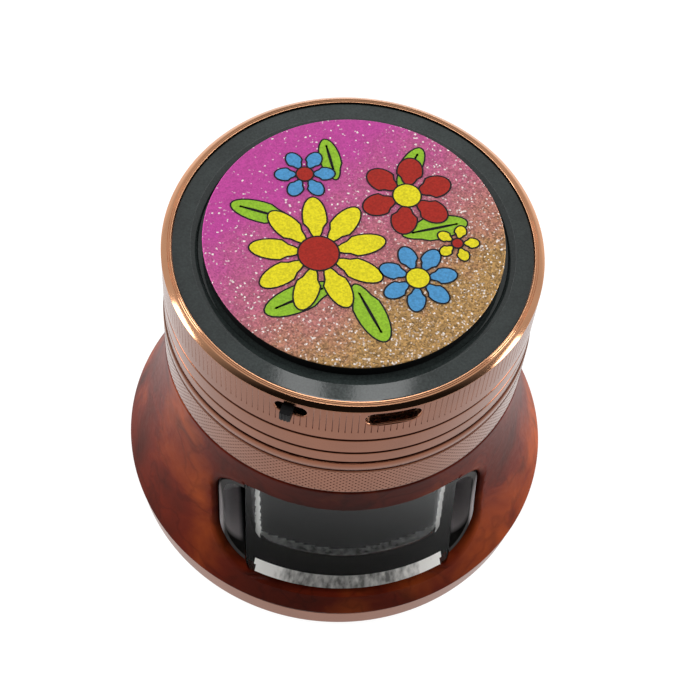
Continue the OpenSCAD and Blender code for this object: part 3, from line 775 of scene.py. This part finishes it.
def mouth(name, size, middle, corners, rounding, surface, steps=6):
    """A tool for an opening in the front whose edge is rounded where it meets a turned surface.

    surface gives the turned profile at a depth; corners are the lower and upper radii."""
    front = -60
    piece = upright_grid(name, (0, front, middle), size, (1, 1))
    leave()
    for sign, radius in zip((-1, 1), corners):
        if radius:
            pick(piece, "VERT", lambda item: sign * (item.co.z / MM - middle) > size[1] / 2 - HAIR)
            bevel(radius, 10, "VERTICES")
    # Each ring of the tool, as the depth of its surface and how far it stands outside the opening
    widest = rounding * 1.2
    rings = [(None, widest), (-1.0, widest)]
    for i in range(steps + 1):
        angle = math.pi / 2 * i / steps
        rings.append((rounding * (1 - math.cos(angle)), rounding * (1 - math.sin(angle))))
    pick(piece, "FACE")
    grown = 0
    for i, (depth, grow) in enumerate(rings):
        if i:
            pull(y=1)
        across, up = ((side + 2 * grow) / (side + 2 * grown) for side in size)
        resize(across, 1, up, middle)
        grown = grow
    pull(y=-(front + len(rings) - 1))
    outwards()
    for i, (depth, grow) in enumerate(rings[1:], 1):
        wrap(piece, surface(depth), lambda p: abs(p.y - front - i) < 0.1)
    return piece


def slot(name, degrees, part, size, radius):
    """A tool for a slot with round ends and softened edges through the lid's wall."""
    low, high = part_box(part)
    height = (low.z + high.z) / 2 / MM
    # A little less than half the height, so that the corners of a round end don't meet
    half, edge_radius, up = size[1] / 2 * 0.998, 0.3, 6
    tool = mouth(name, size, height, (half, half), edge_radius,
                 lambda depth: [(radius - depth, height - up), (radius - depth, height + up)], 4)
    pick(tool, "VERT", lambda item: item.co.y > -MM)
    bpy.ops.transform.translate(value=(0, -radius / 2 * MM, 0))
    leave()
    return moved(tool, degrees)


def on_knurl(point, count):
    """Whether a point on the outside is on one of the knurls around the axis."""
    at = math.atan2(point.y, point.x) / FULL * count
    return abs(at - round(at)) < 0.03


def dent(piece, depth, wanted):
    """Pushes the vertices that wanted says towards the axis."""
    outer = max(reach(v.co) / MM for v in piece.data.vertices if wanted(v.co / MM))
    share = 1 - depth / outer
    pick(piece, "VERT", lambda item: wanted(item.co / MM))
    resize(share, share, 1)
    leave()


def flute(piece, rows, s, knurls):
    """Fine upright flutes: narrow bevels whose middles are pushed in, deepest at the foot."""
    def outside(p):
        return reach(p) > s.radius - NEAR and on_knurl(p, knurls)

    points = piece.data.vertices

    def upright(item):
        a, b = (points[i].co / MM for i in item.vertices)
        return (abs(a.z - b.z) > 0.1 and outside(a) and outside(b)
                and rows[0] - HAIR < min(a.z, b.z) and max(a.z, b.z) < rows[-1] + HAIR)

    pick(piece, "EDGE", upright)
    bevel(s.flute_width / 2, 2)
    deepest = 1.8 * s.flute_depth
    dent(piece, s.flute_depth, lambda p: outside(p) and rows[2] - HAIR < p.z < rows[-1] - HAIR)
    dent(piece, deepest, lambda p: outside(p) and abs(p.z - rows[1]) < NEAR)


class GRINDER_OT_lid(Operator):
    """Turns the lid, with its grooves, fine flutes and slots"""
    bl_idname = "grinder.lid"
    bl_label = "Lid"

    def execute(self, context):
        s, knurls = sizes("lid"), context.scene.grinder_counts.knurls
        out, lip_low = s.lip_radius + s.lip_width, s.high - s.lip_fall
        shoulder = lip_low - s.bevel
        # The flutes deepen over three rows of vertices and end below the shoulder
        rows = [s.flute_foot + row for row in (0, 0.2, 0.4)] + [shoulder - 0.25]
        relief, relief_top = 30.8, 50.15
        corners = [(0, s.under), (s.bore, s.under), (s.bore, relief_top), (relief, relief_top),
                   (relief, s.low), (s.radius, s.low, 0.2)]
        corners += groove(s.radius, s.groove_low, s) + groove(s.radius, s.groove_high, s)
        corners += [(s.radius, z) for z in rows]
        corners += [(s.radius, shoulder, 0.06), (out, lip_low, 0.08)]
        cut_depth, cut_half = 0.05, 0.06
        for share in (0.32, 0.66):
            at = out - s.lip_width * share
            for radius, depth in ((at + cut_half, 0), (at, cut_depth), (at - cut_half, 0)):
                corners.append((radius, s.high - s.lip_fall * (radius - s.lip_radius) / s.lip_width - depth))
        corners += [(s.lip_radius, s.high, 0.06), (s.lip_radius, s.ledge), (s.pocket_radius, s.ledge),
                    (s.pocket_radius, s.pocket), (0, s.pocket)]
        piece = turned("lid_body", corners, False, knurls * 2)
        flute(piece, rows, s, knurls)
        cut(piece, slot("port_tool", PORT_ANGLE, "charge_port", PORT_SLOT, s.radius),
            slot("switch_tool", SWITCH_ANGLE, "switch_knob", SWITCH_SLOT, s.radius))

        # Three hollow bosses that the board is screwed to
        ring, hole, wall, foot, top = 24.9, 1.05, 2.3, 56.2, 60.7
        bosses = []
        for degrees in (60, 180, 300):
            boss = turned("boss", [(hole, foot), (wall, foot), (wall, top), (hole, top)], steps=48)
            a = math.radians(degrees)
            bosses.append(moved(boss, 0, ring * math.sin(a), -ring * math.cos(a)))
        piece = join("lid_body", piece, *bosses)
        activate(piece)
        smooth()

        front, low, inside = -24, 61.5, 25

        def in_slot(p, n):
            """Whether a face is a side of the two slots, which run through the wall"""
            across = abs(n.dot(Vector((p.x, p.y, 0)).normalized())) < 0.8
            return across and p.y < front and low < p.z < s.ledge and inside < reach(p) < s.radius - 0.04

        paint(piece, "rose_gold")
        paint(piece, "bright_cut", lambda p, n: p.z > shoulder - 0.02 and reach(p) > s.lip_radius - 0.02)
        paint(piece, "inner_metal", lambda p, n: reach(p) < s.radius - 0.6 and p.z < s.ledge + 0.2)
        paint(piece, "milled", in_slot)
        settle(piece, "lid", "rose_gold", "lid_shell")
        return {"FINISHED"}


def spigot_thread(core, s):
    """One start of thread on the spigot: a ridge screwed upwards, closed at both ends."""
    deselect()
    bpy.ops.mesh.primitive_circle_add(vertices=4, radius=MM, fill_type="NGON",
                                      rotation=(math.pi / 2, 0, 0))
    piece = named(bpy.context.object, "spigot_thread")
    bpy.ops.object.transform_apply()
    edit_all()
    resize(s.thread_depth - 0.02, 1, 0.45)
    bpy.ops.transform.translate(value=(core * MM, 0, (s.spigot_foot + 0.75) * MM))
    leave()
    apply(piece, "SCREW", angle=FULL, screw_offset=s.thread_pitch * MM, iterations=1, steps=128,
          render_steps=128, axis="Z", use_smooth_shade=False)
    close(piece)
    return piece


class GRINDER_OT_chamber(Operator):
    """Turns the chamber's ring, with its pitted band and its screwed spigot"""
    bl_idname = "grinder.chamber"
    bl_label = "Chamber"

    def execute(self, context):
        s, lid = sizes("chamber"), sizes("lid")
        core, lead_in = s.spigot_radius - s.thread_depth, 0.4
        # Rows of small faces, every second of which carries pits
        cell, count, first = 0.27, 26, 0.55
        rows = [s.low + first + cell * i for i in range(count)]
        corners = [(s.spigot_bore, s.spigot_foot), (core - lead_in, s.spigot_foot),
                   (core, s.spigot_foot + lead_in), (core, s.low), (s.radius, s.low, 0.18)]
        corners += [(s.radius, z) for z in rows]
        corners += groove(s.radius, s.groove, lid)
        corners += [(s.radius, s.high, lid.band_edge), (s.turn_radius, s.high),
                    (s.turn_radius, s.turn_top, 0.3), (s.bore, s.turn_top, 0.3), (s.bore, s.ledge),
                    (s.spigot_bore, s.ledge)]
        steps = context.scene.grinder_counts.knurls * 4
        piece = turned("chamber_body", corners, True, steps, 2)

        def pit(item):
            p = item.center / MM
            at = (p.z - rows[0]) / cell - 0.5
            row, column = round(at), math.floor(math.atan2(p.y, p.x) / FULL * steps)
            on_row = abs(at - row) < 0.1 and 0 <= row < count - 1 and row % 2 == 0
            return on_row and reach(p) > s.radius - NEAR and (column + row) % 4 == 0

        pick(piece, "FACE", pit)
        bpy.ops.mesh.inset(thickness=0.05 * MM, depth=-s.pit_depth * MM, use_individual=True)
        leave()
        smooth()
        paint(piece, "rose_gold")
        paint(piece, "inner_metal", lambda p, n: reach(p) < s.turn_radius + NEAR)
        settle(piece, "chamber", "rose_gold", "chamber_ring")

        ridge = spigot_thread(core, s)
        paint(ridge, "inner_metal")
        settle(ridge, "chamber", "rose_gold")
        return {"FINISHED"}


def flare(s, depth, start, steps=40):
    """The flare's profile from its foot to the rim, moved inwards by depth."""
    run, rise = s.top - s.wide_at, s.wide - s.neck
    bend = (run * run + rise * rise) / (2 * rise)
    centre = s.neck + bend
    heights = [start + (s.top - start) * i / steps for i in range(steps + 1)]
    return [(centre - math.sqrt((bend + depth) ** 2 - (s.top - z) ** 2), z) for z in heights]


class GRINDER_OT_shell(Operator):
    """Turns the burl shell, opens its window and turns the base ring under it"""
    bl_idname = "grinder.shell"
    bl_label = "Shell and base ring"

    def execute(self, context):
        s = sizes("shell")
        outer = flare(s, 0, s.edge_centre - 0.4)
        # The rounded lower edge, from the shell's foot to just under its widest place
        start, end = -math.degrees(math.asin((s.edge_centre - s.foot) / s.edge_radius)), -11
        foot = arc((s.wide - s.edge_radius, s.edge_centre), s.edge_radius, start, end, 8)
        inner = [p for p in flare(s, s.wall, s.foot + 2) if p[0] < s.seat]
        path = [(s.seat, s.foot)] + foot + outer[:-1]
        path += rounded([outer[-2], (s.neck, s.top, 0.35), (s.neck - s.wall, s.top, 0.3), inner[-2]])[1:-1]
        path += inner[::-1][1:] + [(s.seat, inner[0][1])]
        piece = turned("burl_shell", path)

        def opening(name, width, low, high, corners, rounding, *count):
            return mouth(name, (width, high - low), (low + high) / 2, corners, rounding,
                         lambda depth: flare(s, depth, s.edge_centre), *count)

        cut(piece,
            opening("window_tool", s.window_width, s.window_low, s.window_high, (s.window_corner, 0),
                    s.window_edge, 4),
            opening("scoop_tool", s.scoop_width, s.scoop_low, s.scoop_high,
                    (s.scoop_corner, s.scoop_corner), s.scoop_edge))
        close(piece)
        paint(piece, "burl")
        settle(piece, "base", "rosewood_print", "horn_shell")

        corners = [(s.ring_bore, s.ring_step_top), (s.ring_step, s.ring_step_top), (s.ring_step, 0),
                   (s.ring_radius, 0, 0.5), (s.ring_radius, s.foot, 0.12), (s.ring_spigot, s.foot),
                   (s.ring_spigot, s.ring_top, 0.2), (s.ring_bore, s.ring_top, 0.2)]
        ring = turned("base_band", corners, arcs=4)
        paint(ring, "rose_gold")
        settle(ring, "base", "rose_gold", "base_ring")
        return {"FINISHED"}


class GRINDER_OT_drawer(Operator):
    """Shapes the clear drawer: a block cut by the flare and hollowed like a bowl"""
    bl_idname = "grinder.drawer"
    bl_label = "Drawer"

    def execute(self, context):
        s, shell = sizes("drawer"), sizes("shell")
        half, front, bed, above = s.width / 2, -44, s.low + s.floor, 14
        inner = half - s.side

        def limit(depth, floor):
            path = [(0, floor)] + flare(shell, depth, floor, 60) + [(0, shell.top)]
            return turned("limit", path, False, 512)

        piece = block("drawer_tray", (-half, front, s.low), (half, s.back, s.high), s.edge_radius,
                      lambda p: p.z < s.low + 0.1)
        cut(piece, limit(s.inset, s.low - 2), operation="INTERSECT")
        room = block("drawer_room", (s.side - half, front, bed), (inner, s.back - s.rear, s.high + above))
        cut(room, limit(s.inset + s.front, s.low), operation="INTERSECT")
        apply(room, "REMESH", mode="VOXEL", voxel_size=0.5 * MM)
        apply(room, "SMOOTH", factor=0.5, iterations=context.scene.grinder_counts.softening)
        deselect()
        bpy.ops.mesh.primitive_cylinder_add(
            vertices=64, radius=s.magnet_radius * MM, depth=2 * s.magnet_depth * MM,
            rotation=(math.pi / 2, 0, 0), location=(0, s.back * MM, (s.low + s.high) / 2 * MM))
        cut(piece, room, bpy.context.object)
        close(piece)
        soften(piece, s.rim)
        paint(piece, "clear")
        # Painted light: the solid foot behind the front face goes pale, and the front wall's inner fillets
        # at bed and sides take a painted highlight
        paint(piece, "frosted", lambda p, n: p.y < -25 and abs(p.x) < inner and n.y < -0.3
              and s.low + 0.1 < p.z < bed + 0.5)
        paint(piece, "fillet", lambda p, n: n.y > 0.15 and p.y < -18 and bed + 0.1 < p.z < s.high - 1
              and (p.z < bed + 1.1 or inner - 1.6 < abs(p.x) < inner - 0.9))
        settle(piece, "drawer", "clear_plastic", "drawer")
        return {"FINISHED"}


class GRINDER_OT_cover(Operator):
    """Turns the smoked light ring and the badge's black carrier"""
    bl_idname = "grinder.cover"
    bl_label = "Light ring and carrier"

    def execute(self, context):
        s = sizes("badge")
        inner_high = s.cover_high - s.cover_fall
        # Narrow sloping strips at both edges, as their width and fall
        (outer, outer_fall), (inner, inner_fall) = (0.17, 0.04), (0.35, 0.11)
        corners = [(0, s.cover_low), (s.cover_radius, s.cover_low),
                   (s.cover_radius, s.cover_high - outer_fall), (s.cover_radius - outer, s.cover_high, 0.05),
                   (s.cover_rim, s.cover_high, 0.3), (s.cover_inner + inner, inner_high, 0.1),
                   (s.cover_inner, inner_high - inner_fall, 0.06), (s.cover_inner - 0.2, s.cover_seat),
                   (0, s.cover_seat)]
        ring = turned("light_ring", corners, False)
        paint(ring, "smoked")
        settle(ring, "lid", "smoked_plastic", "light_cover")

        corners = [(0, s.cover_seat), (s.carrier_radius, s.cover_seat, 0.15),
                   (s.carrier_radius, s.disc_low, 0.1), (0, s.disc_low)]
        carrier = turned("badge_puck", corners, False)
        paint(carrier, "black")
        settle(carrier, "lid", "black_plastic", "badge_carrier")
        return {"FINISHED"}


def petal(long, wide, narrow, fill, s, layer):
    """One printed petal pointing along X from the middle: outline and coloured field."""
    deselect()
    bpy.ops.mesh.primitive_circle_add(vertices=24, radius=1, fill_type="NGON")
    piece = named(bpy.context.object, "petal")
    edit_all()
    resize(long / 2 * MM, wide / 2 * MM, 1)
    leave()
    tail = -0.3 * long / 2 * MM
    pick(piece, "VERT", lambda item: item.co.x < tail)
    resize(1, narrow, 1)
    pick(piece, "FACE")
    bpy.ops.mesh.inset(thickness=s.outline * MM)
    leave()
    paint(piece, "ink_dark")
    piece.data.materials.append(finish("ink_" + fill))
    for face in piece.data.polygons:
        face.material_index = int(face.select)
    pick(piece, "FACE")
    bpy.ops.transform.translate(value=(0, 0, (s.disc_high - (4 - layer) * s.ink) * MM))
    pull(z=s.ink)
    outwards()
    return piece


# Leaves as place, direction and length; flowers as place, petals, their length and width, the
# heart's radius, both inks and the first petal's direction
LEAVES = ((-9.5, -11.5, 205, 12.5), (1.5, -14.5, 292, 12), (13.2, 1.5, 12, 11.5),
          (10.2, 14.0, 62, 9.5), (-15.0, 5.5, 160, 10.5), (-3.0, 16.0, 100, 9.0))
FLOWERS = ((-6.0, -3.0, 9, 8.6, 4.3, 3.5, "yellow", "red", 12),
           (9.2, 8.2, 6, 6.0, 4.6, 2.5, "red", "yellow", 20),
           (9.6, -8.2, 7, 4.9, 3.3, 2.1, "sky", "yellow", 5),
           (-7.4, 13.0, 6, 3.9, 2.9, 1.6, "sky", "red", 0),
           (16.6, -1.6, 5, 2.9, 2.3, 1.1, "yellow", "red", 0))


class GRINDER_OT_badge(Operator):
    """Turns the printed disc and lays its flowers and leaves on it"""
    bl_idname = "grinder.badge"
    bl_label = "Badge"

    def execute(self, context):
        s = sizes("badge")
        top = s.disc_high - 4 * s.ink
        corners = [(0, s.disc_low), (s.disc_radius, s.disc_low, 0.1), (s.disc_radius, top, 0.22), (0, top)]
        disc = turned("badge_face", corners, False, arcs=4)
        paint(disc, "black")
        paint(disc, "print", lambda p, n: p.z > s.disc_low + 0.3 and n.z > 0.5)
        settle(disc, "lid", "badge_print", "badge_disc")

        shapes, leaf_width, rib_length, rib_width = [], 0.42, 0.7, 0.5
        for x, y, angle, long in LEAVES:
            leaf = petal(long, long * leaf_width, 0.8, "lime", s, 0)
            rib = petal(long * rib_length, rib_width, 1.0, "dark", s, 1)
            shapes += [moved(leaf, angle, x, y), moved(rib, angle, x, y)]
        for x, y, count, long, wide, hub, fill, heart, first in FLOWERS:
            for i in range(count):
                one = moved(petal(long, wide, 0.72, fill, s, 2), 0, hub * 0.8 + long / 2)
                shapes.append(moved(moved(one, first + 360 * i / count), 0, x, y))
            shapes.append(moved(petal(2 * hub, 2 * hub, 1.0, heart, s, 3), 0, x, y))
        motif = join("badge_flowers", *shapes)
        settle(motif, "lid", "badge_print")
        return {"FINISHED"}


class GRINDER_OT_small(Operator):
    """Shapes the ribbed switch knob and the grooved foot pad"""
    bl_idname = "grinder.small"
    bl_label = "Switch knob and foot pad"

    def execute(self, context):
        low, high = (edge("switch_knob", corner, 2) for corner in (0, 1))
        tip, root, half, rib, aside, ribs = 33.0, 28.21, 0.9, 0.12, 0.4, 7
        front, strip = -(tip - rib), 2 * half / ribs
        knob = upright_grid("switch_slider", (-aside, front, (low + high) / 2), (2 * half, high - low),
                            (ribs, 1))
        pull(y=tip - rib - root)
        leave()
        pick(knob, "FACE", lambda f: abs(f.center.y / MM - front) < HAIR
             and round((f.center.x / MM + aside + half) / strip - 0.5) % 2 == 1)
        pull(y=-rib)
        leave()
        close(knob)
        moved(knob, SWITCH_ANGLE)
        soften(knob, 0.06)
        paint(knob, "black")
        settle(knob, "switch", "black_plastic", "switch_knob")

        out, thick = (edge("foot_pad", 1, axis) for axis in (0, 2))
        inside, slope, floor, deep = out - 8, 0.4, 0.2, 0.4
        corners = [(inside, 0, 0.25)]
        for at in (6, 4, 2):
            corners += [(out - at - slope, 0, 0.1), (out - at - floor, deep), (out - at + floor, deep),
                        (out - at + slope, 0, 0.1)]
        corners += [(out, 0, 0.25), (out, thick), (inside, thick)]
        pad = turned("grip_foot", corners)
        paint(pad, "rubber")
        settle(pad, "base", "foot_rubber", "foot_pad")
        return {"FINISHED"}


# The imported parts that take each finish
PART_FINISHES = {
    "rose_gold": "lid_shell chamber_ring base_ring", "inner_metal": "thread_collar tooth_plate",
    "tooth_metal": "chamber_teeth lid_post lid_teeth", "coated": "base_plate",
    "zinc": "base_screws board_screws", "stainless": "charge_port", "pouch": "battery",
    "nickel": "housing_magnet drawer_magnet chamber_magnet lid_magnet",
    "rubber": "chamber_seal foot_pad", "ptfe": "glide_ring", "board": "led_board", "lamp": "leds",
    "lead_red": "lead_red", "lead_black": "lead_black", "burl": "horn_shell", "clear": "drawer",
    "housing": "drawer_housing", "smoked": "light_cover", "print": "badge_disc",
    "black": "port_tongue switch_body badge_carrier switch_knob",
}


class GRINDER_OT_parts(Operator):
    """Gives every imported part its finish"""
    bl_idname = "grinder.parts"
    bl_label = "Finishes of the packed parts"

    def execute(self, context):
        for key, nodes in PART_FINISHES.items():
            for part in (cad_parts[node] for node in nodes.split()):
                if not part.material_slots:
                    part.data.materials.append(None)
                for holder in part.material_slots:
                    holder.material = finish(key)
        return {"FINISHED"}


# ---------------------------------------------------------------- stage

# Lamps as azimuth from the front to the right, elevation, distance, size and radiance. One that isn't
# mirrored lights the wood and the print, and leaves no streak on the metal
LAMPS = {
    "left_box": (-94, 14, 0.6, (0.16, 0.3), 8.5, True),
    "right_box": (78, 13, 0.6, (0.15, 0.28), 8.5, True),
    "rear_box_left": (175.4, 59.3, 0.7, (0.026, 0.16), 3.2, True),
    "rear_box_right": (167.3, 59.3, 0.7, (0.032, 0.16), 3.2, True),
    "rear_box_low": (171, 24, 0.8, (0.3, 0.1), 6.0, True),
    "left_wood_box": (-112, 8, 0.6, (0.5, 0.13), 17.0, False),
    "right_wood_box": (106, 8, 0.6, (0.5, 0.13), 19.0, False),
    "top_box": (170, 86, 0.8, (0.2, 0.2), 6.0, True),
}
CAMERA_PLACE = (-23.254, -155.594, 287.023)
CAMERA_ANGLES = (31.6848, -3.2459, -3.7009)


def softbox(name, azimuth, elevation, distance, size, radiance, mirrored):
    """A rectangular lamp that faces the object's middle."""
    a, e = math.radians(azimuth), math.radians(elevation)
    out = Vector((math.sin(a) * math.cos(e), -math.cos(a) * math.cos(e), math.sin(e)))
    data = bpy.data.lights.new(name, "AREA")
    data.shape, data.size, data.size_y = "RECTANGLE", size[0], size[1]
    data.energy = radiance * math.pi * size[0] * size[1]
    lamp = bpy.data.objects.new(name, data)
    lamp.visible_glossy = lamp.visible_transmission = mirrored
    bpy.context.scene.collection.objects.link(lamp)
    lamp.location = out * distance + Vector((0, 0, 50 * MM))
    lamp.rotation_euler = out.to_track_quat("Z", "Y").to_euler()


def seen_rays(t):
    """One for camera, glossy and transmission rays, so that metal and glass show the background."""
    kind = t.add("LightPath").node.outputs
    seen = t.math("ADD", kind["Is Camera Ray"], kind["Is Glossy Ray"], use_clamp=True)
    return t.math("ADD", seen, kind["Is Transmission Ray"], use_clamp=True)


class GRINDER_OT_stage(Operator):
    """Lays the pale floor, and sets the soft light and the camera"""
    bl_idname = "grinder.stage"
    bl_label = "Stage"

    def execute(self, context):
        scene = context.scene
        deselect()
        bpy.ops.mesh.primitive_plane_add(size=6)
        floor = named(bpy.context.object, "floor")
        card = shaded("white_card", lambda t: {}, Base_Color=linear("#787878"), Roughness=0.9,
                      Specular_IOR_Level=0.0)()
        t, made = Nodes(card.node_tree), card.node_tree.nodes
        glow = t.add("Emission", {"Strength": t.math("MULTIPLY", seen_rays(t), 0.93)})
        both = t.add("AddShader", {0: made["Principled BSDF"].outputs[0], 1: glow})
        feed(made["Material Output"].inputs["Surface"], both)
        floor.data.materials.append(card)

        world = scene.world = bpy.data.worlds.new("studio")
        world.use_nodes = True
        t, soft = Nodes(world.node_tree), {"interpolation_type": "SMOOTHSTEP"}
        way = t.add("SeparateXYZ", {0: t.add("TexCoord", out="Generated")}).node.outputs
        # Mirrored, the room is white low down, pale behind and above, and dark low in front
        behind = t.span(way["Y"], 0.01, 0.7, -0.55, 0.25, **soft)
        room = t.mix(t.span(way["Z"], 1.0, 0.0, 0.02, 0.16, **soft), behind, 1.0)
        fill = t.span(way["Y"], 0.01, 0.46, -0.45, 0.5)
        fill = t.math("MULTIPLY_ADD", t.math("POWER", way["X"], 2.0), 0.8, fill)
        back = world.node_tree.nodes["Background"].inputs
        feed(back["Strength"], t.mix(seen_rays(t), fill, room))
        feed(back["Color"], (1, 1, 1, 1))
        for name, values in LAMPS.items():
            softbox(name, *values)

        data = bpy.data.cameras.new("camera")
        data.lens, data.sensor_width = 85.683, 36.0
        data.clip_start, data.clip_end = 0.01, 20
        camera = scene.camera = bpy.data.objects.new("camera", data)
        scene.collection.objects.link(camera)
        camera.location = Vector(CAMERA_PLACE) * MM
        camera.rotation_euler = [math.radians(a) for a in CAMERA_ANGLES]
        scene.view_settings.view_transform = "Standard"
        return {"FINISHED"}


class GRINDER_PT_panel(Panel):
    """Lists the pieces in the sidebar"""
    bl_idname = "GRINDER_PT_panel"
    bl_label = "Grinder"
    bl_space_type = "VIEW_3D"
    bl_region_type = "UI"
    bl_category = "Grinder"

    def draw(self, context):
        for operator in OPERATORS:
            self.layout.operator(operator.bl_idname)
        for holder in GROUPS:
            group = getattr(context.scene, holder)
            box = self.layout.box()
            box.label(text=holder.replace("_", " ").capitalize())
            for name in keys(group):
                box.prop(group, name)


OPERATORS = (GRINDER_OT_parts, GRINDER_OT_shell, GRINDER_OT_drawer, GRINDER_OT_chamber, GRINDER_OT_lid,
             GRINDER_OT_cover, GRINDER_OT_badge, GRINDER_OT_small, GRINDER_OT_stage)
GROUPS = {"grinder_lid": LidSizes, "grinder_chamber": ChamberSizes, "grinder_shell": ShellSizes,
          "grinder_drawer": DrawerSizes, "grinder_badge": BadgeSizes, "grinder_counts": Counts,
          "grinder_colours": Colours}


def register():
    for kind in (*GROUPS.values(), *OPERATORS, GRINDER_PT_panel):
        bpy.utils.register_class(kind)
    for holder, group in GROUPS.items():
        setattr(bpy.types.Scene, holder, PointerProperty(type=group))


def unregister():
    for holder in GROUPS:
        delattr(bpy.types.Scene, holder)
    for kind in (GRINDER_PT_panel, *OPERATORS, *GROUPS.values()):
        bpy.utils.unregister_class(kind)


def main():
    register()
    for operator in OPERATORS:
        family, name = operator.bl_idname.split(".")
        getattr(getattr(bpy.ops, family), name)()


if __name__ == "__main__":
    main()
